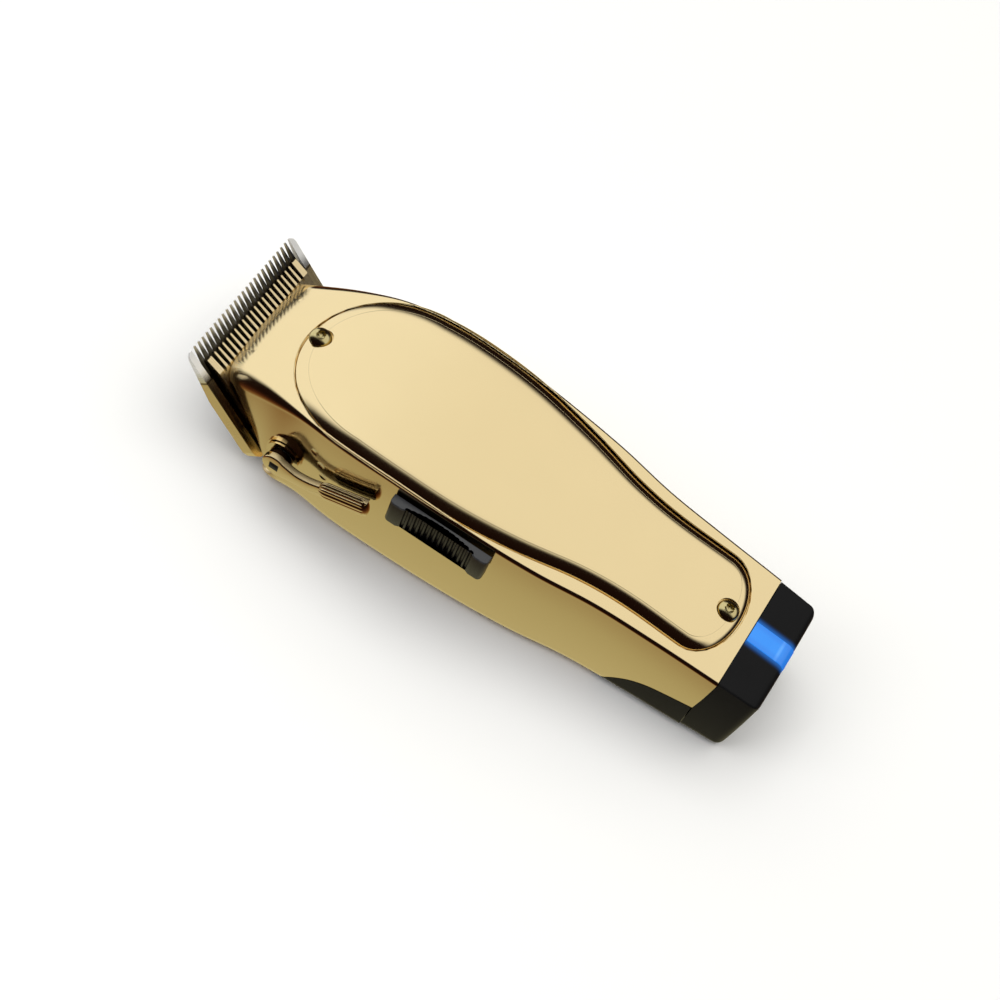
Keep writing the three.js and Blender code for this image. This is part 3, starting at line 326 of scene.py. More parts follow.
def section(station, w, grow=SKIN, floor=-0.02, top=None, start=0.0):
    """A point of the half section at a station. w runs 0 to 1 over the top, which is a parabola;
    1 to 2 round the shoulder's arc; 2 to 3 down the wall, a parabola through a bulged middle;
    3 to 4 round the lower corner; and 4 to 5 along the floor to the middle."""
    half = half_width(station) + grow
    lower = half + flare(station)
    corner = max(BOTTOM_RADIUS + grow, 1)
    radius = np.maximum(shoulder_radius(station) + grow, 0.6)
    top = shoulder_height(station) + grow if top is None else top
    crest = top + CROWN
    edge_x = half - radius + radius * np.cos(TOP_ARC)
    edge_z = top - radius + radius * np.sin(TOP_ARC)
    lid_x = np.minimum(start, edge_x)
    top_x = lid_x + (edge_x - lid_x) * np.clip(w, 0, 1)
    top_z = edge_z + (crest - edge_z) * (1 - (top_x / edge_x) ** 2)
    angle = TOP_ARC * (2 - np.clip(w, 1, 2))
    arc_x = half - radius + radius * np.cos(angle)
    arc_z = top - radius + radius * np.sin(angle)
    wall_low = floor + corner
    wall_high = top - radius
    t = 3 - np.clip(w, 2, 3)
    middle = (half + lower) / 2 + WALL_BULGE
    wall_x = lower * (1 - t) * (1 - 2 * t) + middle * 4 * t * (1 - t) + half * t * (2 * t - 1)
    wall_z = wall_low + (wall_high - wall_low) * t
    turn = -np.pi / 2 * (np.clip(w, 3, 4) - 3)
    corner_x = lower - corner + corner * np.cos(turn)
    corner_z = wall_low + corner * np.sin(turn)
    floor_x = (lower - corner) * (5 - np.clip(w, 4, 5))
    x = np.select([w <= 1, w <= 2, w <= 3, w <= 4], [top_x, arc_x, wall_x, corner_x], floor_x)
    z = np.select([w <= 1, w <= 2, w <= 3, w <= 4], [top_z, arc_z, wall_z, corner_z], floor + 0 * w)
    return x, z


def top_height(x, station, grow=SKIN):
    """Height of the housing's top at a point: the parabola of the section."""
    half = half_width(station) + grow
    radius = shoulder_radius(station) + grow
    top = shoulder_height(station) + grow
    edge_x = half - radius + radius * np.cos(TOP_ARC)
    edge_z = top - radius + radius * np.sin(TOP_ARC)
    return edge_z + (top + CROWN - edge_z) * (1 - np.minimum((x / edge_x) ** 2, 1))


def cover_limit(station):
    """Where the cover's edge crosses the section, as a value of w."""
    low = BOTTOM_RADIUS + SKIN - 0.02
    high = shoulder_height(station) + SKIN - (shoulder_radius(station) + SKIN)
    edge = cover_edge(station)
    on_wall = 3 - (edge - low) / (high - low)
    on_corner = 3 + np.arcsin(np.clip((low - edge) / (BOTTOM_RADIUS + SKIN), 0, 1)) / (np.pi / 2)
    return np.where(station < SEAM - 28, 4.0, np.where(edge >= low, on_wall, on_corner))


def front_line(height):
    """Station of the housing's front at a height: the blade seat's sloping plane, which stands
    a little further out at the nose's lip, and a step behind the blade's heel."""
    slope_unit = (math.cos(BLADE_ANGLE), math.sin(BLADE_ANGLE))

    def on_plane(lift):
        slope = (TIP_HEIGHT + lift * slope_unit[0] - height) / slope_unit[1]
        return slope, slope * slope_unit[0] + lift * slope_unit[1]

    slope_lip, lip = on_plane(LIP_LIFT)
    slope_seat, seat = on_plane(SEAT_LIFT)
    lift = (height - TIP_HEIGHT + HEEL_SLOPE * slope_unit[1]) / slope_unit[0]
    step = HEEL_SLOPE * slope_unit[0] + lift * slope_unit[1]
    heel = on_plane(HEEL_LIFT)[1]
    blend = smoothstep(slope_lip, *LIP_END)
    front = lip + (seat - lip) * blend
    front = np.where(slope_seat > HEEL_SLOPE, step, front)
    return np.where(lift < HEEL_LIFT, heel, front)


def settle(start, height_at, line):
    """The station at which a section's point meets a line, by repeated half steps."""
    station = np.array(start, float)
    for _ in range(60):
        station = 0.5 * station + 0.5 * line(height_at(station))
    return station


def lid_half(station, grow):
    """Half-width of the lid's outline, grown by a margin: ellipses at both ends, and the body's
    width less a margin between them. It is 0 beyond the tips."""
    front, rear = SPINE
    ahead = np.clip((front - station) / (LID_FRONT_REACH + grow), 0, 1)
    behind = np.clip((station - rear) / (LID_REAR_REACH + grow), 0, 1)
    at = np.clip(station, front, rear)
    width = half_width(at) - lid_margin(at) + grow
    return width * np.sqrt(1 - ahead**2) * np.sqrt(1 - behind**2)


def lid_outline(grow, front_steps=64, middle_steps=120, rear_steps=40):
    """Half of the lid's outline from the front tip to the rear tip, as (x, station)."""
    front, rear = SPINE

    def width(at):
        return half_width(at) - lid_margin(at) + grow

    a = np.linspace(-np.pi / 2, 0, front_steps, endpoint=False)
    b = np.linspace(front, rear, middle_steps, endpoint=False)
    c = np.linspace(0, np.pi / 2, rear_steps)
    x = np.concatenate([width(front) * np.cos(a), width(b), width(rear) * np.cos(c)])
    y = np.concatenate([
        front + (LID_FRONT_REACH + grow) * np.sin(a), b, rear + (LID_REAR_REACH + grow) * np.sin(c),
    ])
    x[-1] = 0
    return np.stack([x, y], axis=1)


def screw_seat(station):
    """Height of the spot face under a lid screw's head."""
    return float(lid_top(np.array(station), 0.0)) - SCREW_SINK


def lid_top(station, ring):
    """The lid's height: its spine follows the shoulder, and its edge rolls down with a high
    power of the share of the way from the spine to the outline."""
    from_front = smoothstep(station, LID_FRONT + 4, LID_FRONT + 26)
    from_rear = smoothstep(LID_REAR - station, 0, LID_REAR_REACH)
    drop = LID_END_DROP + (LID_SIDE_DROP - LID_END_DROP) * from_front * from_rear
    return shoulder_height(station) + LID_CROWN - drop * ring**LID_ROLL


def housing_grid():
    """Half of the housing's skin: stations down the body by places round the section, with its
    first column on the lid's edge and its last on the floor or on the cover's edge."""
    grow = LID_GAP + 0.25
    tip = SPINE[0] - LID_FRONT_REACH - grow
    tail = SPINE[1] + LID_REAR_REACH + grow
    columns = places(26, 16, 44, 12)
    nose = settle(np.full(columns.shape, 8.0), lambda s: section(s, columns)[1], front_line)
    outline = lid_outline(grow)
    rows = np.concatenate([
        np.linspace(nose[0], tip, 40, endpoint=False), outline[:, 1],
        np.linspace(tail, SEAM - 0.15, 10)[1:],
    ])
    share = np.clip((rows - rows[0]) / 85, 0, 1)[:, None]
    station = rows[:, None] + (nose - nose[0])[None, :] * (1 - share) ** 1.2
    back = smoothstep(rows, SEAM - 14, SEAM - 0.15)[:, None]
    for _ in range(3):
        w = columns + np.clip(columns - 2, 0, 2) / 2 * (cover_limit(station) - 4)
        x, z = section(station, w, start=lid_half(station, grow))
        skirt = np.interp(z[-1], *np.array(CAP_SKIRT).T)
        station = station - back * (station[-1] - (SEAM - 0.15 - skirt))[None, :]
    w = columns + np.clip(columns - 2, 0, 2) / 2 * (cover_limit(station) - 4)
    x, z = section(station, w, start=lid_half(station, grow))
    return np.stack([x, station, z], axis=-1)


def lid_rim():
    """The wall of the lid's recess: the outline drawn in through a small rounding, then down."""
    steps = [(0.25, 0.0), (0.14, 0.012), (0.06, 0.06), (0.01, 0.14), (0.0, 0.25), (0.0, 2.4)]
    rings = []
    for more, down in steps:
        x, y = lid_outline(LID_GAP + more).T
        rings.append(np.stack([x, y, top_height(x, y) - down], axis=-1))
    return np.array(rings)


def lid_parts():
    """The lid: rings shrink from its outline to its spine, the edge is rounded, and the wall
    runs down to the underside. Returns the parts and each point's distance from the edge."""
    outline = lid_outline(0.0, 90, 170, 60)
    front, rear = SPINE
    spine = np.clip(outline[:, 1], front, rear)
    close = 1 - np.linspace(0, 0.012, 7)
    shares = np.concatenate([close, 1 - np.linspace(0.0, 0.33, 60) ** 1.25, np.linspace(0.73, 0, 46)])
    reach = np.hypot(outline[:, 0], outline[:, 1] - spine)
    shares = np.unique(shares)[::-1]
    x = outline[:, 0][None, :] * shares[:, None]
    y = spine[None, :] + (outline[:, 1] - spine)[None, :] * shares[:, None]
    z = lid_top(y, shares[:, None] + 0 * y)
    edge = reach[None, :] * (1 - shares[:, None])
    grid = np.stack([x, y, z], axis=-1)
    within = np.minimum(edge, LID_EDGE_RADIUS) / LID_EDGE_RADIUS
    grid[..., 2] -= LID_EDGE_RADIUS * (1 - np.sqrt(1 - (1 - within) ** 2))
    wall = grid[0] - np.array([0, 0, LID_WALL])
    grid = np.concatenate([[wall], grid])
    edges = np.concatenate([np.zeros((1, edge.shape[1])), edge])
    return grid, edges


# ------------ prisms and small shapes


def unit(vectors):
    """Vectors of a length of 1 along the given ones."""
    return vectors / np.maximum(np.linalg.norm(vectors, axis=-1, keepdims=True), 1e-9)


def rounded_prism(loop, axis, low, high, radius, steps=4):
    """A closed outline pulled between two planes, its end edges turned through quarter circles:
    at each step the outline is drawn in along its own normals."""
    loop = np.asarray(loop, float)
    ahead = np.roll(loop, -1, axis=0) - loop
    back = loop - np.roll(loop, 1, axis=0)
    tangent = unit(unit(ahead) + unit(back))
    inward = np.stack([-tangent[:, 1], tangent[:, 0]], axis=1)
    area = np.sum(loop[:, 0] * np.roll(loop[:, 1], -1) - np.roll(loop[:, 0], -1) * loop[:, 1])
    inward *= np.sign(area)
    angles = np.linspace(0, np.pi / 2, steps + 1)
    levels = [(radius * (1 - np.sin(a)), low + radius * (1 - np.cos(a))) for a in angles]
    levels += [(radius * (1 - np.cos(a)), high - radius * (1 - np.sin(a))) for a in angles]
    rings = []
    for inset, level in levels:
        plane = loop + inward * inset
        third = np.full(len(loop), level)
        columns = [plane[:, 0], plane[:, 1]]
        columns.insert("xyz".index(axis), third)
        rings.append(np.stack(columns, axis=1))
    rings = np.array(rings)
    count = len(loop)
    faces = quads(len(rings), count, True).tolist()
    last = (len(rings) - 1) * count
    faces.append(list(range(count))[::-1])
    faces.append([last + i for i in range(count)])
    return rings, faces


def revolved(profile, centre, sides, lobes):
    """A profile of (radius, height) turned about an upright axis. lobes gives, for each profile
    point, how strongly its radius swells in six waves round the axis."""
    turn = np.linspace(0, 2 * np.pi, sides, endpoint=False)
    radius, height = np.array(profile, float).T
    swell = np.array(lobes, float)
    reach = radius[:, None] * (1 + swell[:, None] * np.cos(6 * turn)[None, :])
    x = centre[0] + reach * np.cos(turn)
    y = centre[1] + reach * np.sin(turn)
    z = centre[2] + height[:, None] + 0 * x
    return np.stack([x, y, z], axis=-1)


# ------------ shaders


def operator(operation):
    """A method of Value that adds the Math node of one operation."""
    def apply(self, other):
        return self.math(operation, other)

    return apply


class Value:
    """A shader socket that can be used in a formula; each operation adds one Math node."""

    def __init__(self, shader, socket):
        self.shader = shader
        self.socket = socket

    def math(self, operation, *others, clamp=False):
        node = self.shader.tree.nodes.new("ShaderNodeMath")
        node.operation = operation
        node.use_clamp = clamp
        for i, value in enumerate((self, *others)):
            self.shader.feed(node.inputs[i], value)
        return Value(self.shader, node.outputs[0])

    def __rsub__(self, other):
        return (self * -1) + other

    __add__ = __radd__ = operator("ADD")
    __sub__ = operator("SUBTRACT")
    __mul__ = __rmul__ = operator("MULTIPLY")
    __pow__ = operator("POWER")
    __gt__ = operator("GREATER_THAN")
    __lt__ = operator("LESS_THAN")

    def size(self):
        return self.math("ABSOLUTE")

    def rise(self, low, high):
        """0 below low, 1 above high, and a smooth step between them."""
        t = ((self - low) * (1 / (high - low))).math("MULTIPLY", 1.0, clamp=True)
        return t * t * (3 - 2 * t)

    def near(self, centre, width):
        """1 at a value, falling to 0 at a distance from it."""
        return 1 - (self - centre).size().rise(0, width)


class Shader:
    """One node tree, with one method that adds any node."""

    def __init__(self, tree):
        self.tree = tree
        tree.nodes.clear()

    def feed(self, socket, value):
        if isinstance(value, Value):
            self.tree.links.new(value.socket, socket)
        elif isinstance(value, (tuple, list)) and len(value) == 3 and socket.type == "RGBA":
            socket.default_value = (*value, 1.0)
        else:
            socket.default_value = value

    def node(self, kind, output=0, settings=None, stops=None, **inputs):
        node = self.tree.nodes.new(kind)
        for name, value in (settings or {}).items():
            setattr(node, name, value)
        if stops:
            ramp = node.color_ramp
            while len(ramp.elements) < len(stops):
                ramp.elements.new(1.0)
            for element, (place, colour) in zip(ramp.elements, stops):
                element.position = place
                element.color = (*colour, 1.0)
        for name, value in inputs.items():
            key = int(name[1:]) if name[0] == "i" and name[1:].isdigit() else name.replace("_", " ")
            self.feed(node.inputs[key], value)
        return Value(self, node.outputs[output]) if node.outputs else None

    def place(self):
        """X, Y and Z of the point, in metres, and the point itself."""
        point = self.node("ShaderNodeTexCoord", output="Object")
        return [*(self.node("ShaderNodeSeparateXYZ", output=i, i0=point) for i in range(3)), point]

    def noise(self, point, scale, detail, stretch=(1, 1, 1)):
        at = self.node("ShaderNodeMapping", i0=point, i3=stretch)
        return self.node("ShaderNodeTexNoise", output="Fac", Vector=at, Scale=scale, Detail=detail)

    def mix(self, factor, low, high):
        settings = {"data_type": "RGBA"}
        return self.node("ShaderNodeMix", output=2, settings=settings, i0=factor, i6=low, i7=high)

    def bump(self, height, distance):
        return self.node("ShaderNodeBump", Height=height, Distance=distance, Strength=1.0)


MATERIALS = {}


def new_material(name):
    """Adds an empty material to the table, and returns its node tree to fill."""
    material = bpy.data.materials.new(name)
    material.use_nodes = True
    MATERIALS[name] = material
    return Shader(material.node_tree)


def finish_with(shader, **inputs):
    """Ends a material with its one surface shader."""
    surface = shader.node("ShaderNodeBsdfPrincipled", **inputs)
    shader.node("ShaderNodeOutputMaterial", i0=surface)


def gold(name, colour, roughness, dimples=False, etched=False, painted_shade_below_x=None):
    """Mirror-polished plate: a faint cloud in its gloss, fine polishing scratches, and where
    asked the three dimples of the wall, the engraved line of the lid, or the lever's back painted
    near black nearer to the middle than the given limit, as painted shade in the gap behind the
    lever and in its reflection in the wall, and satin upper side."""
    shader = new_material(name)
    x, y, z, point = shader.place()
    cloud = shader.noise(point, 60, 3)
    scratch = shader.noise(point, 900, 2, (1.0, 0.08, 1.0))
    rough = roughness + 0.05 * (cloud - 0.5) + 0.03 * (scratch - 0.5)
    tint = shader.mix(cloud, tuple(c * 0.96 for c in colour), colour)
    height = 0.02 * scratch
    if dimples:
        lift = (y * 1000 + ORIGIN_STATION) * math.sin(BLADE_ANGLE)
        lift = lift + (z * 1000 - TIP_HEIGHT) * math.cos(BLADE_ANGLE)
        rough = rough + 0.3 * (1 - lift.rise(LIP_LIFT, LIP_LIFT + 2.2))
        for reach, angle in DIMPLES:
            at_y = (LEVER_PIVOT[0] - ORIGIN_STATION + reach * math.cos(math.radians(angle))) * 0.001
            at_z = (LEVER_PIVOT[1] + reach * math.sin(math.radians(angle))) * 0.001
            away = ((y - at_y) * (y - at_y) + (z - at_z) * (z - at_z)) ** 0.5 * (1 / DIMPLE_RADIUS)
            bowl = 1 - away.math("MINIMUM", 1.0) ** 2
            height = height - 28 * bowl * (x > 0.015)
    if etched:
        edge = shader.node("ShaderNodeAttribute", output="Fac", settings={"attribute_name": "edge_mm"})
        line = edge.near(3.0, 0.11)
        height = height - 0.8 * line
        rough = rough + 0.12 * line
        tint = shader.mix(line * 0.5, tint, tuple(c * 0.6 for c in colour))
    if painted_shade_below_x is not None:
        normal_z = shader.node(
            "ShaderNodeSeparateXYZ", output=2, i0=shader.node("ShaderNodeTexCoord", output="Normal"),
        )
        satin = normal_z.rise(0.80, 0.88)
        rough = rough + 0.33 * satin
        # Painted shade: the lever's back is painted near black so the gap behind the lever and its
        # reflection in the wall stay dark.
        tint = shader.mix(x < painted_shade_below_x, tint, (0.02, 0.009, 0.004))
    normal = shader.bump(height, 0.00002)
    finish_with(shader, Base_Color=tint, Metallic=1.0, Roughness=rough, Normal=normal)


def blade_metal(name, colour, ground, fixed=True):
    """Blade steel with a gold plate: bright ground teeth up to a line across the slope, a dark
    border behind it, and grinding lines along the teeth. The fixed blade's inner teeth are painted
    darker grey from their tips, as painted shade on the teeth; its face under the moving blade is
    painted nearly black, partly dark oil and partly the moving blade's painted shadow; and its corner
    teeth are pale and matt."""
    shader = new_material(name)
    x, y, z, point = shader.place()
    slope = (y * 1000 + ORIGIN_STATION) * math.cos(BLADE_ANGLE)
    slope = slope - (z * 1000 - TIP_HEIGHT) * math.sin(BLADE_ANGLE)
    lines = shader.noise(point, 2600, 2, (1.0, 0.03, 0.03))
    cloud = shader.noise(point, 120, 3)
    behind = slope.rise(GROUND_TEETH, GROUND_TEETH + 0.3)
    border = slope.near(9.7, 0.5)
    tint = shader.mix(behind, ground, colour)
    if fixed:
        inner = 1 - x.size().rise(INNER_TEETH - 0.0002, INNER_TEETH)
        tint = shader.mix(border * 0.85, tint, (0.05, 0.03, 0.02))
        # Painted shade: the inner teeth darker grey from their tips.
        tint = shader.mix(inner * slope.rise(-0.5, 3.0), tint, (0.10, 0.10, 0.105))
        # Painted shadow of the moving blade, with dark oil: the face under it nearly black.
        tint = shader.mix(inner * slope.rise(3.8, 5.6), tint, (0.012, 0.006, 0.004))
    rough = 0.17 + 0.1 * (cloud - 0.5) + 0.16 * lines
    metal = 1.0
    if fixed:
        metal = 1 - 0.75 * (1 - inner) * (1 - slope.rise(5.0, 9.3))
    normal = shader.bump(lines, 0.000006)
    finish_with(shader, Base_Color=tint, Metallic=metal, Roughness=rough, Normal=normal)


def brushed(name, colour, roughness):
    """Machined or rolled metal: fine lines one way and slow changes of gloss."""
    shader = new_material(name)
    _, _, _, point = shader.place()
    lines = shader.noise(point, 1500, 2, (0.05, 1.0, 1.0))
    cloud = shader.noise(point, 90, 4)
    tint = shader.mix(cloud, tuple(c * 0.8 for c in colour), colour)
    normal = shader.bump(lines, 0.000008)
    finish_with(
        shader, Base_Color=tint, Metallic=1.0, Normal=normal,
        Roughness=roughness + 0.15 * (lines - 0.5) + 0.1 * (cloud - 0.5),
    )


def moulded(name, colour, roughness, specular=0.4, halo=False):
    """Moulded plastic: a fine spark-eroded grain, with slow changes of gloss and shade, and where
    asked the blue halo that the light guide throws on the cap beside it."""
    shader = new_material(name)
    x, _, z, point = shader.place()
    grains = shader.noise(point, 2600, 2)
    cloud = shader.noise(point, 110, 3)
    tint = shader.mix(cloud, tuple(c * 0.8 for c in colour), tuple(c * 1.15 for c in colour))
    normal = shader.bump(grains, 0.00002)
    lit = {}
    if halo:
        edge = GUIDE_HALF * 0.001
        reach = (1 - x.size().rise(edge, edge + HALO_REACH)) ** 2 * z.rise(0.018, 0.022)
        glow = shader.mix(reach, (0.0, 0.0, 0.0), (0.01, 0.11, 0.42))
        lit = {"Emission_Color": glow, "Emission_Strength": 1.0}
    finish_with(
        shader, Base_Color=tint, Normal=normal, Specular_IOR_Level=specular,
        Roughness=roughness + 0.12 * (cloud - 0.5) + 0.08 * (grains - 0.5), **lit,
    )


def switch_plastic():
    """The black slider: a grey top face, a painted highlight of the light from above, over black
    flanks.
    """
    shader = new_material("switch_plastic")
    _, _, z, point = shader.place()
    grains = shader.noise(point, 2400, 2)
    # Painted highlight: the top face lighter grey than the black flanks.
    upper = z.rise((SWITCH_HEIGHT + 3.6) * 0.001, (SWITCH_HEIGHT + 4.2) * 0.001)
    tint = shader.mix(upper, (0.006, 0.006, 0.007), (0.030, 0.031, 0.034))
    normal = shader.bump(grains, 0.00002)
    finish_with(shader, Base_Color=tint, Roughness=0.36 + 0.1 * (grains - 0.5), Normal=normal)


def lit_guide():
    """The lit light guide: blue over the top, with a pale band before its bend, and deeper blue
    down the rear and along its sides."""
    shader = new_material("light_guide")
    x, y, _, point = shader.place()
    rear = y.rise((CAP_END - ORIGIN_STATION - 4.2) * 0.001, (CAP_END - ORIGIN_STATION - 0.6) * 0.001)
    side = x.size().rise(0.0009, 0.0026)
    cloud = shader.noise(point, 150, 2)
    pale = y.near((CAP_END - ORIGIN_STATION - 3.4) * 0.001, 0.0007)
    tint = shader.mix(rear, (0.015, 0.24, 0.80), (0.006, 0.14, 0.60))
    tint = shader.mix(pale * 0.5, tint, (0.20, 0.52, 1.0))
    tint = shader.mix(side * 0.5, tint, (0.008, 0.13, 0.62))
    tint = shader.mix(cloud * 0.25, tint, (0.06, 0.36, 0.95))
    finish_with(
        shader, Base_Color=(0.01, 0.06, 0.20), Roughness=0.2, Emission_Color=tint,
        Emission_Strength=0.88,
    )


def board_finish():
    """Solder mask with pale printed tracks under it."""
    shader = new_material("circuit_board")
    _, _, _, point = shader.place()
    cells = shader.node("ShaderNodeTexVoronoi", output="Distance", Vector=point, Scale=420.0)
    tracks = cells.near(0.28, 0.05)
    tint = shader.mix(tracks * 0.5, (0.008, 0.07, 0.03), (0.05, 0.22, 0.10))
    normal = shader.bump(tracks, 0.00003)
    finish_with(shader, Base_Color=tint, Roughness=0.32 + 0.1 * tracks, Normal=normal)


def sleeve_finish():
    """Shrink sleeve: glossy film with faint wrinkles round its ends."""
    shader = new_material("cell_sleeve")
    _, _, _, point = shader.place()
    wrinkle = shader.noise(point, 240, 4, (1.0, 0.2, 1.0))
    tint = shader.mix(wrinkle, (0.01, 0.06, 0.28), (0.02, 0.11, 0.42))
    normal = shader.bump(wrinkle, 0.00006)
    finish_with(shader, Base_Color=tint, Roughness=0.22 + 0.1 * wrinkle, Normal=normal)


def floor_finish():
    """Matt white paper with a slow change of shade."""
    shader = new_material("floor")
    _, _, _, point = shader.place()
    cloud = shader.noise(point, 5, 2)
    tint = shader.mix(cloud, (0.87, 0.87, 0.865), (0.89, 0.89, 0.885))
    finish_with(shader, Base_Color=tint, Roughness=0.85, Specular_IOR_Level=0.0)


# ------------ settings


class ClipperFinish(bpy.types.PropertyGroup):
    gold_colour: bpy.props.FloatVectorProperty(
        name="Gold", description="Colour of the polished plate", subtype="COLOR",
        default=(0.87, 0.71, 0.42), min=0.0, max=1.0,
    )
    gold_roughness: bpy.props.FloatProperty(
        name="Gold roughness", description="Blur of the polished plate's reflections",
        default=0.13, min=0.0, max=1.0, subtype="FACTOR",
    )
    plastic_colour: bpy.props.FloatVectorProperty(
        name="Plastic", description="Colour of the end cap and the cover", subtype="COLOR",
        default=(0.0085, 0.0085, 0.009), min=0.0, max=1.0,
    )


class ClipperStage(bpy.types.PropertyGroup):
    distance: bpy.props.FloatProperty(
        name="Camera distance", description="From the camera to the middle of the clipper",
        default=0.54122, min=0.1, unit="LENGTH",
    )
    azimuth: bpy.props.FloatProperty(
        name="Camera azimuth", description="Turn of the camera round the clipper",
        default=math.radians(99.06), subtype="ANGLE",
    )
    elevation: bpy.props.FloatProperty(
        name="Camera elevation", description="Height angle of the camera",
        default=math.radians(58.94), subtype="ANGLE",
    )
    roll: bpy.props.FloatProperty(
        name="Camera roll", description="Turn of the camera about its own axis",
        default=math.radians(25.56), subtype="ANGLE",
    )
    lens: bpy.props.FloatProperty(
        name="Lens", description="Focal length on a sensor 36 mm wide, in millimetres",
        default=78.205, min=10.0,
    )


def make_materials():
    """Fills the table of finishes, by the name of the slot or of the piece's own finish."""
    chosen = bpy.context.scene.clipper_finish
    colour = tuple(chosen.gold_colour)
    rough = chosen.gold_roughness
    gold("polished_gold", colour, rough)
    gold("wall_gold", colour, rough, dimples=True)
    gold("lid_gold", colour, rough, etched=True)
    stand = (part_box("taper_lever")[0][0] * 1000 + LEVER_STAND + 0.05) * 0.001
    gold("lever_gold", colour, rough, painted_shade_below_x=stand)
    gold("screw_gold", (0.62, 0.53, 0.27), rough + 0.06)
    plate = (0.86, 0.70, 0.40)
    blade_metal("fixed_blade_steel", plate, (0.86, 0.86, 0.85))
    cream = (0.76, 0.62, 0.38)
    blade_metal("blade_steel", cream, cream, fixed=False)
    brushed("machined_steel", (0.55, 0.56, 0.57), 0.3)
    plastic = tuple(chosen.plastic_colour)
    moulded("black_plastic", plastic, 0.3, 0.05)
    moulded("cap_plastic", plastic, 0.3, 0.05, halo=True)
    moulded("grey_plastic", (0.06, 0.062, 0.066), 0.5)
    moulded("white_plastic", (0.66, 0.64, 0.58), 0.42)
    switch_plastic()
    lit_guide()
    brushed("brass", (0.68, 0.50, 0.24), 0.25)
    board_finish()
    sleeve_finish()
    brushed("nickel", (0.74, 0.71, 0.66), 0.26)


# ------------ operators


class CLIPPER_OT_finishes(bpy.types.Operator):
    """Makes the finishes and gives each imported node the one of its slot"""
    bl_idname = "clipper.finishes"
    bl_label = "Finishes"

    def execute(self, context):
        make_materials()
        for entry in frame["record"]["subparts"]:
            node = frame["nodes"][entry["node"]]
            node.data.materials.clear()
            node.data.materials.append(MATERIALS[entry["material_slot"]])
        frame["nodes"]["lever_washer"].data.materials[0] = MATERIALS["polished_gold"]
        return {"FINISHED"}


class CLIPPER_OT_housing(bpy.types.Operator):
    """Adds the smooth skin of the housing and the wall of the lid's recess"""
    bl_idname = "clipper.housing"
    bl_label = "Housing skin"

    def execute(self, context):
        half = rolled_edge(rolled_edge(housing_grid(), 0, 0.2, 0.8), -1, 0.12, 0.8)
        parts = both_halves(half) + both_halves(lid_rim())
        skin = make_piece("housing_skin", parts, "wall_gold", "body")
        turn_outward(skin, (0.0, 0.0, 0.015))
        return {"FINISHED"}


class CLIPPER_OT_cover(bpy.types.Operator):
    """Adds the smooth walls of the underside cover"""
    bl_idname = "clipper.cover"
    bl_label = "Cover skin"

    def execute(self, context):
        stations = np.linspace(SEAM - 27.9, SEAM - 1.8, 60)[:, None]
        share = np.linspace(0, 1, 40)[None, :]
        low = cover_limit(stations)
        inset = 0.28 / 16
        w = np.minimum(low + inset, 4) + (4 - np.minimum(low + inset, 4)) * share
        x, z = section(stations + 0 * w, w, grow=SKIN - 0.02)
        grid = np.stack([x, stations + 0 * x, z], axis=-1)
        cover = make_piece("cover_skin", both_halves(grid), "black_plastic", "body")
        turn_outward(cover, (0.0, 0.055, 0.02))
        return {"FINISHED"}


def cap_grid():
    """Half of the cap: the body's section drawn in, its rear edge rounded by a quarter circle,
    then the leaning rear face shrinking to the circle of the charging socket, which runs in.
    The first row is tucked in under the housing's rear edge."""
    w = places(20, 10, 30, 10, 14)
    turns = np.linspace(0, np.pi / 2, 14)
    flat = CAP_END - CAP_ROUNDING - SEAM
    along = [(SEAM + flat * k, CAP_INSET) for k in np.linspace(0, 1, 14)[:-1]]
    round_off = [
        (CAP_END - CAP_ROUNDING * (1 - math.sin(t)), CAP_INSET + CAP_ROUNDING * (1 - math.cos(t)))
        for t in turns
    ]
    rows = []
    lean_from = float(shoulder_height(SEAM))
    for i, (station, inset) in enumerate(along + round_off):
        at = np.full(w.shape, station)
        top = shoulder_height(at) - inset + CAP_INSET * 0.4
        x, z = section(at, w, grow=-inset, floor=inset - CAP_INSET, top=top)
        share = smoothstep(station, SEAM - 2, CAP_END - 3)
        y = station - np.maximum(CAP_LEAN * (lean_from - z) * share, 0)
        if i < len(along):
            skirt = np.interp(z, *np.array(CAP_SKIRT).T)
            y = y - (skirt - 0.15) * (1 - i / len(along))
        rows.append(np.stack([x, y, z], axis=-1))
    last = rows[-1]
    angle = np.arctan2(last[:, 2] - SOCKET_HEIGHT, last[:, 0])
    circle_x = SOCKET_RADIUS * np.cos(angle)
    circle = np.stack([circle_x, 0 * angle, SOCKET_HEIGHT + SOCKET_RADIUS * np.sin(angle)], axis=-1)
    for k in np.linspace(0, 1, 12)[1:]:
        point = last + (circle - last) * k
        point[:, 1] = CAP_END - np.maximum(CAP_LEAN * (lean_from - point[:, 2]), 0)
        rows.append(point)
    rows.append(rows[-1] - np.array([0, 0.25, 0]))
    rows.append(rows[-1] - np.array([0, 2.5, 0]))
    tuck, middle = 0.93, 16
    lip = rows[0] * np.array([tuck, 1, 1]) + np.array([0, 0.2, 0])
    lip[:, 2] = middle + (rows[0][:, 2] - middle) * tuck
    return np.array([lip] + rows)


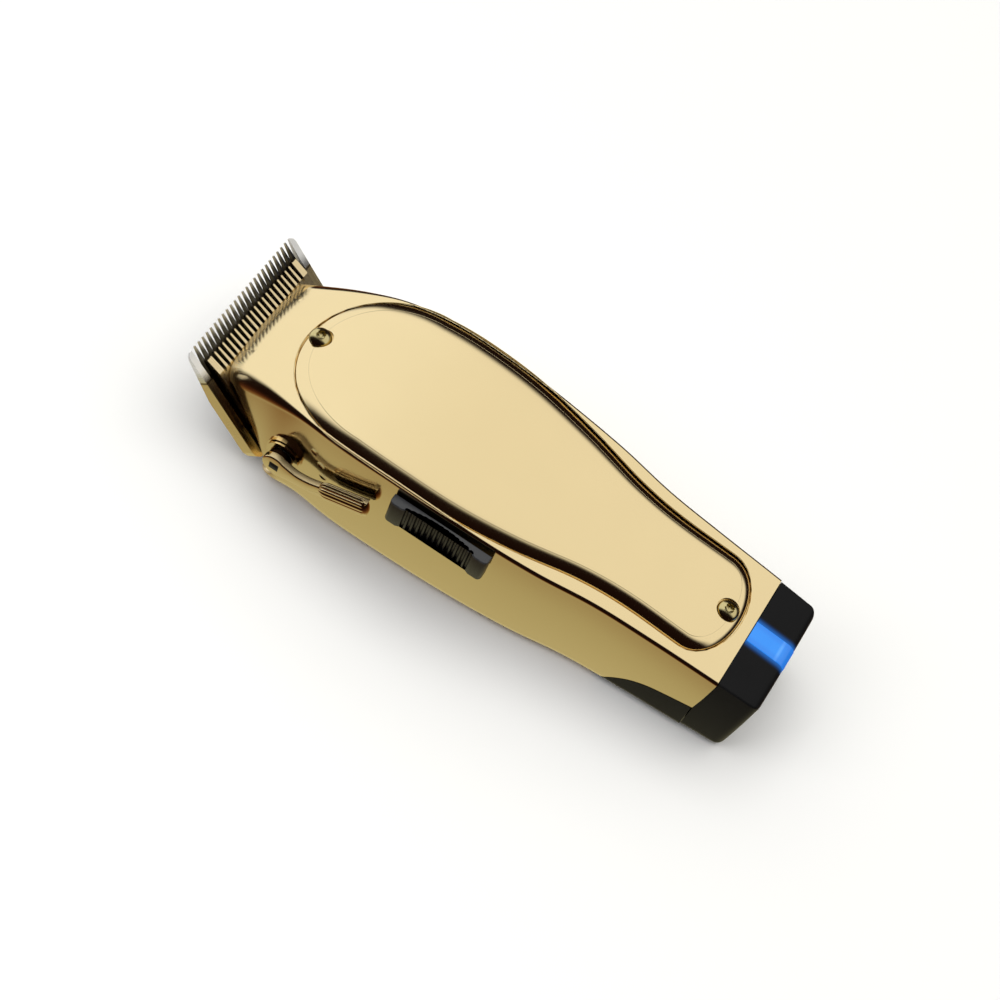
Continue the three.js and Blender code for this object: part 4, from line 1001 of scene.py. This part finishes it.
class CLIPPER_OT_end_cap(bpy.types.Operator):
    """Adds the rounded end cap, with the lit guide over its top and rear edge"""
    bl_idname = "clipper.end_cap"
    bl_label = "End cap"

    def execute(self, context):
        grid = cap_grid()
        cap = make_piece(
            "end_cap_shell", both_halves(grid), "cap_plastic", "body",
            ["end_cap"],
        )
        turn_outward(cap, (0.0, 0.072, 0.015))
        sharpen(cap, 40)
        self.guide(grid)
        return {"FINISHED"}

    def guide(self, grid):
        """The guide follows the cap's middle line, a little proud of it, with rolled sides."""
        line = grid[1:28, 0, :]
        line = line[line[:, 2] > 27]
        rear_top = line[-1]
        down = np.linspace(0, 1, 12)[1:, None]
        rear_end = np.array([0, CAP_END - CAP_LEAN * 9.2, GUIDE_END])
        rear = rear_top + (rear_end - rear_top) * down
        line = np.concatenate([line, rear])
        keep = np.concatenate([[True], np.linalg.norm(np.diff(line, axis=0), axis=1) > 1e-4])
        line = line[keep]
        along = np.gradient(line, axis=0)
        along /= np.linalg.norm(along, axis=1, keepdims=True)
        outward = np.stack([0 * along[:, 0], -along[:, 2], along[:, 1]], axis=1)
        outward *= np.where(outward[:, 1:2] + outward[:, 2:3] < 0, -1, 1)
        side = [(GUIDE_HALF, -0.8), (GUIDE_HALF, 0.0), (GUIDE_HALF - 0.08, 0.1)]
        side.append((GUIDE_HALF - 0.25, GUIDE_LIFT))
        flat = [(x, GUIDE_LIFT) for x in np.linspace(0.5 - GUIDE_HALF, GUIDE_HALF - 0.5, 9)]
        across = [(-x, lift) for x, lift in side] + flat + side[::-1]
        grid = np.array([line + outward * lift + np.array([x, 0, 0]) for x, lift in across])
        guide = make_piece(
            "light_guide_strip", [grid_part(grid)], "light_guide", "body",
            ["light_guide"],
        )
        turn_outward(guide, (0.0, 0.070, 0.015))


def spot_hole(piece, station, radius, low, high):
    """Cuts a round seat through a plate with a boolean, and applies it."""
    turn = np.linspace(0, 2 * np.pi, 72, endpoint=False)
    loop = np.stack([radius * np.cos(turn), station + radius * np.sin(turn)], axis=1)
    points, faces = rounded_prism(loop, "z", low, high, 0.01, 1)
    mesh = bpy.data.meshes.new("seat_tool")
    mesh.from_pydata(in_frame(points.reshape(-1, 3)).tolist(), [], faces)
    tool = linked("seat_tool", mesh)
    closed_and_outward(mesh)
    change = piece.modifiers.new("seat", "BOOLEAN")
    change.operation = "DIFFERENCE"
    change.solver = "EXACT"
    change.object = tool
    with bpy.context.temp_override(object=piece, active_object=piece):
        bpy.ops.object.modifier_apply(modifier="seat")
    bpy.data.objects.remove(tool)


class CLIPPER_OT_lid(bpy.types.Operator):
    """Adds the domed lid with its two spot faces, and its button screws"""
    bl_idname = "clipper.lid"
    bl_label = "Lid and screws"

    def execute(self, context):
        top, edge = lid_parts()
        under = np.array([top[0], top[0] * np.array([0, 1, 1])])
        edges = np.concatenate([edge.ravel()] * 2 + [np.zeros(under.shape[:2]).ravel()] * 2)
        parts = both_halves(top) + both_halves(under)
        lid = make_piece("lid_plate", parts, "lid_gold", "body", ["lid"], edges)
        for station in SCREW_STATIONS.values():
            spot_hole(lid, station, SCREW_SEAT_RADIUS, screw_seat(station), 60)
        sharpen(lid, 35)
        for name, station in SCREW_STATIONS.items():
            self.screw(name, station)
        return {"FINISHED"}

    def screw(self, name, station):
        """A domed head turned from its profile, with a six-lobed recess."""
        radius, height = SCREW_HEAD_RADIUS, SCREW_HEAD_HEIGHT
        angles = np.radians([8, 18, 28, 38, 48, 58, 66])
        profile = [(0.01, -3.0), (2.4, -3.0), (2.4, 0.0), (radius - 0.12, 0.0), (radius, 0.12)]
        profile += [(radius * math.cos(a), 0.12 + (height - 0.12) * math.sin(a)) for a in angles]
        profile += [(1.2, height * 0.965), (1.16, height * 0.93), (1.12, height * 0.80)]
        profile += [(1.1, height * 0.30), (0.45, height * 0.22), (0.01, height * 0.2)]
        lobes = [0] * 12 + [0.16, 0.18, 0.2, 0.2, 0.1, 0]
        grid = revolved(profile, (0, station, screw_seat(station)), 96, lobes)
        screw = make_piece(
            f"lid_button_{name}", [grid_part(grid, wrap=True)], "screw_gold",
            "body", [f"lid_screw_{name}"],
        )
        sharpen(screw, 42)


def catmull(points, steps):
    """A smooth line through points, each span a cubic of its four nearest points."""
    points = np.array(points, float)
    padded = np.concatenate([[2 * points[0] - points[1]], points, [2 * points[-1] - points[-2]]])
    t = np.linspace(0, 1, steps, endpoint=False)[:, None]
    spans = []
    for a, b, c, d in zip(padded[:-3], padded[1:-2], padded[2:-1], padded[3:]):
        spans.append(0.5 * (2 * b + (c - a) * t + (2 * a - 5 * b + 4 * c - d) * t**2
                            + (3 * b - a - 3 * c + d) * t**3))
    return np.concatenate(spans + [points[-1:]])


def arc_points(centre, radius, start, end, count):
    """Points round a circle between two angles in degrees."""
    turn = np.radians(np.linspace(start, end, count))
    return np.stack([centre[0] + radius * np.cos(turn), centre[1] + radius * np.sin(turn)], axis=1)


class CLIPPER_OT_lever(bpy.types.Operator):
    """Adds the taper lever: hub, curved arm and ribbed thumb pad"""
    bl_idname = "clipper.lever"
    bl_label = "Taper lever"

    def execute(self, context):
        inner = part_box("taper_lever")[0][0] * 1000
        stand = inner + LEVER_STAND
        outer = inner + LEVER_REACH
        lower = catmull([(1.6, -3.2), (6, -2.0), (11, -1.0), (16, 1.0), (24.6, 4.6)], 8)
        back = [(25.6, 9.9), (21.7, 8.2), (18, 6.6), (13, 4.0), (9.6, 2.5), (6, 1.9), (2.2, 2.7)]
        upper = catmull(back, 8)
        hub = arc_points((0, 0), HUB_RADIUS, 70, 280, 30)
        arm = rounded_prism(np.concatenate([lower, upper, hub]) + LEVER_PIVOT, "x", stand, outer, 0.45)
        boss = arc_points(LEVER_PIVOT, HUB_RADIUS - 0.3, 0, 352, 45)
        parts = [arm, rounded_prism(boss, "x", inner, stand + 0.5, 0.15), self.pad(outer)]
        lever = make_piece("lever_arm", parts, "lever_gold", "lever", ["taper_lever"])
        sharpen(lever, 50)
        self.socket(outer)
        return {"FINISHED"}

    def pad(self, outer):
        """The thumb pad: an oval carried along a line, fluted all round, and closed by a quarter
        circle at its rear and a longer one at its front."""
        start = np.array([outer - 0.9, LEVER_PIVOT[0] + 12.6, LEVER_PIVOT[1] + 1.9])
        end = np.array([outer - 0.75, LEVER_PIVOT[0] + 26.2, LEVER_PIVOT[1] + 7.4])
        along = (end - start) / np.linalg.norm(end - start)
        third = np.cross([1.0, 0, 0], along)
        length = np.linalg.norm(end - start)
        at = np.concatenate([
            length * np.linspace(0, 0.2, 12) ** 2 / 0.2, np.linspace(0.22, 0.9, 24) * length,
            length - 0.1 * length * (1 - np.sin(np.linspace(0.05, np.pi / 2, 12))),
        ])[:, None]
        front = np.sqrt(1 - (1 - np.clip(at / (0.2 * length), 0, 1)) ** 2)
        rear = np.sqrt(1 - np.clip((at - 0.9 * length) / (0.1 * length), 0, 1) ** 2)
        turn = np.linspace(0, 2 * np.pi, PAD_FLUTES * 12, endpoint=False)[None, :]
        wave = np.abs(np.sin(PAD_FLUTES / 2 * turn)) - 1
        flute = 1 + 0.10 * wave * smoothstep(rear, 0.8, 1)
        size = front * rear * flute
        x = start[0] + (end[0] - start[0]) * at / length + PAD_HALF_DEPTH * size * np.cos(turn)
        y = start[1] + along[1] * at + PAD_HALF_HEIGHT * size * np.sin(turn) * third[1]
        z = start[2] + along[2] * at + PAD_HALF_HEIGHT * size * np.sin(turn) * third[2]
        return grid_part(np.stack([x, y, z], axis=-1), wrap=True)

    def socket(self, outer):
        """A black square sunk in the hub: painted shade in the hub's square hole."""
        corner = 1.3
        loop = [(-corner, -corner), (corner, -corner), (corner, corner), (-corner, corner)]
        part = rounded_prism(np.array(loop) + LEVER_PIVOT, "x", outer - 0.5, outer + 0.03, 0.02, 1)
        # Painted shade: a black square stands in for the dark square hole of the hub.
        make_piece("lever_square_hole_shade", [part], "black_plastic", "lever")


class CLIPPER_OT_switch(bpy.types.Operator):
    """Adds the slide switch: a button whose outer face is a shallow parabola with cross ribs"""
    bl_idname = "clipper.switch"
    bl_label = "Power switch"

    def execute(self, context):
        base = HALF_WIDTH + WALL_BULGE + 0.4
        out = base + 2.8
        half, scoop = 13.9, 9.9
        rib_count, rib_height, corner = 13, 0.5, 1.2
        at = np.linspace(-scoop, scoop, 400)
        depth = 1.5 * (1 - (at / (scoop + 1)) ** 2)
        phase = 2 * np.pi * rib_count * (at + scoop) / (2 * scoop)
        ribs = rib_height * np.clip(0.5 + 0.9 * np.cos(phase), 0, 1)
        floor_x = out - depth - rib_height + ribs
        front = arc_points((out - corner, -half + corner), corner, -90, 0, 10)
        rear = arc_points((out - corner, half - corner), corner, 0, 90, 10)
        loop = np.concatenate([
            [(base, -half)], front, [(out, -scoop - 0.6)], np.stack([floor_x, at], axis=1),
            [(out, scoop + 0.6)], rear, [(base, half)],
        ]) + np.array([0, SWITCH_STATION])
        part = rounded_prism(loop, "z", SWITCH_HEIGHT - 4.4, SWITCH_HEIGHT + 4.4, 0.3, 3)
        button = make_piece(
            "switch_slider", [part], "switch_plastic", "switch",
            ["switch_button"],
        )
        sharpen(button, 40)
        return {"FINISHED"}


class CLIPPER_OT_stage(bpy.types.Operator):
    """Adds the floor, the soft light and the camera"""
    bl_idname = "clipper.stage"
    bl_label = "Stage"

    def execute(self, context):
        scene = context.scene
        scene.view_settings.view_transform = "Standard"
        self.floor()
        self.world(scene)
        self.lights()
        self.camera(scene)
        return {"FINISHED"}

    def floor(self):
        """A wide sheet just under the clipper."""
        mesh = bpy.data.meshes.new("floor")
        size = 3.0
        mesh.from_pydata(
            [(-size, -size, -2e-4), (size, -size, -2e-4), (size, size, -2e-4), (-size, size, -2e-4)],
            [], [(0, 1, 2, 3)],
        )
        plane = linked("floor", mesh)
        floor_finish()
        mesh.materials.append(MATERIALS["floor"])
        plane.visible_glossy = False

    def world(self, scene):
        """A bright card overhead that reaches lower in front of the blades, dark walls at both
        sides of it and round the horizon, and a warm ground that pales downwards. The camera
        sees a plain pale backdrop."""
        world = bpy.data.worlds.new("studio")
        world.use_nodes = True
        scene.world = world
        shader = Shader(world.node_tree)
        direction = shader.node("ShaderNodeTexCoord", output="Generated")
        x, y, z = (shader.node("ShaderNodeSeparateXYZ", output=i, i0=direction) for i in range(3))
        ahead = (y * -1).rise(0.45, 0.85)
        card = (z + 0.65 * ahead).rise(0.16, 0.46) * (1 - x.rise(0.0, 0.30))
        card = card * (1 - (x * -1).rise(0.76, 0.90))
        ground = shader.node("ShaderNodeValToRGB", Fac=z * -1, stops=GROUND)
        glow = shader.mix(y.rise(-0.5, 0.15), (1.04, 1.04, 1.0), (0.95, 0.93, 0.86))
        colour = shader.mix(card, ground, glow)
        seen = shader.node("ShaderNodeLightPath", output="Is Camera Ray")
        tint = shader.mix(seen, colour, (0.93, 0.93, 0.925))
        back = shader.node("ShaderNodeBackground", Color=tint, Strength=1.0)
        shader.node("ShaderNodeOutputWorld", i0=back)

    def lights(self):
        """Two soft square lamps, each aimed at a point."""
        lamps = [
            ("fill", (0.0, 0.0, 1.4), (0, 0, 0), 1.6, 14.0),
            ("side", (0.7, -0.9, 1.0), (0, 0, 0), 0.8, 6.0),
        ]
        for name, place, target, size, power in lamps:
            data = bpy.data.lights.new(name, "AREA")
            data.shape = "SQUARE"
            data.size = size
            data.energy = power
            lamp = linked(name, data)
            lamp.location = place
            aim = Vector(target) - Vector(place)
            lamp.rotation_euler = aim.to_track_quat("-Z", "Y").to_euler()
            lamp.visible_glossy = False

    def camera(self, scene):
        """The camera stands back along a direction given by two angles, and is rolled."""
        stage = scene.clipper_stage
        az, el, roll = stage.azimuth, stage.elevation, stage.roll
        back = Vector((math.sin(az) * math.cos(el), -math.cos(az) * math.cos(el), math.sin(el)))
        right = (-back).cross(Vector((0, 0, 1))).normalized()
        up = right.cross(-back)
        turned_right = right * math.cos(roll) + up * math.sin(roll)
        turned_up = up * math.cos(roll) - right * math.sin(roll)
        turn = Matrix((turned_right, turned_up, back)).transposed().to_4x4()
        data = bpy.data.cameras.new("camera")
        data.sensor_width = 36
        data.lens = stage.lens
        data.clip_start = 0.01
        eye = linked("camera", data)
        place = Vector(CAMERA_TARGET) + back * stage.distance
        eye.matrix_world = Matrix.Translation(place) @ turn
        scene.camera = eye


class CLIPPER_PT_panel(bpy.types.Panel):
    """Lists the clipper's settings and its making steps"""
    bl_idname = "CLIPPER_PT_panel"
    bl_label = "Hair Clipper"
    bl_space_type = "VIEW_3D"
    bl_region_type = "UI"
    bl_category = "Clipper"

    def draw(self, context):
        for group in (context.scene.clipper_finish, context.scene.clipper_stage):
            for name in group.bl_rna.properties.keys():
                if name not in ("rna_type", "name"):
                    self.layout.prop(group, name)
        for step in STEPS:
            self.layout.operator(step.bl_idname)


STEPS = (
    CLIPPER_OT_finishes, CLIPPER_OT_housing, CLIPPER_OT_cover, CLIPPER_OT_end_cap,
    CLIPPER_OT_lid, CLIPPER_OT_lever, CLIPPER_OT_switch, CLIPPER_OT_stage,
)
CLASSES = (ClipperFinish, ClipperStage, *STEPS, CLIPPER_PT_panel)


def register():
    for cls in CLASSES:
        bpy.utils.register_class(cls)
    bpy.types.Scene.clipper_finish = bpy.props.PointerProperty(type=ClipperFinish)
    bpy.types.Scene.clipper_stage = bpy.props.PointerProperty(type=ClipperStage)


def unregister():
    del bpy.types.Scene.clipper_stage
    del bpy.types.Scene.clipper_finish
    for cls in reversed(CLASSES):
        bpy.utils.unregister_class(cls)


def main():
    register()
    bpy.ops.clipper.finishes()
    bpy.ops.clipper.housing()
    bpy.ops.clipper.cover()
    bpy.ops.clipper.end_cap()
    bpy.ops.clipper.lid()
    bpy.ops.clipper.lever()
    bpy.ops.clipper.switch()
    bpy.ops.clipper.stage()


if __name__ == "__main__":
    main()
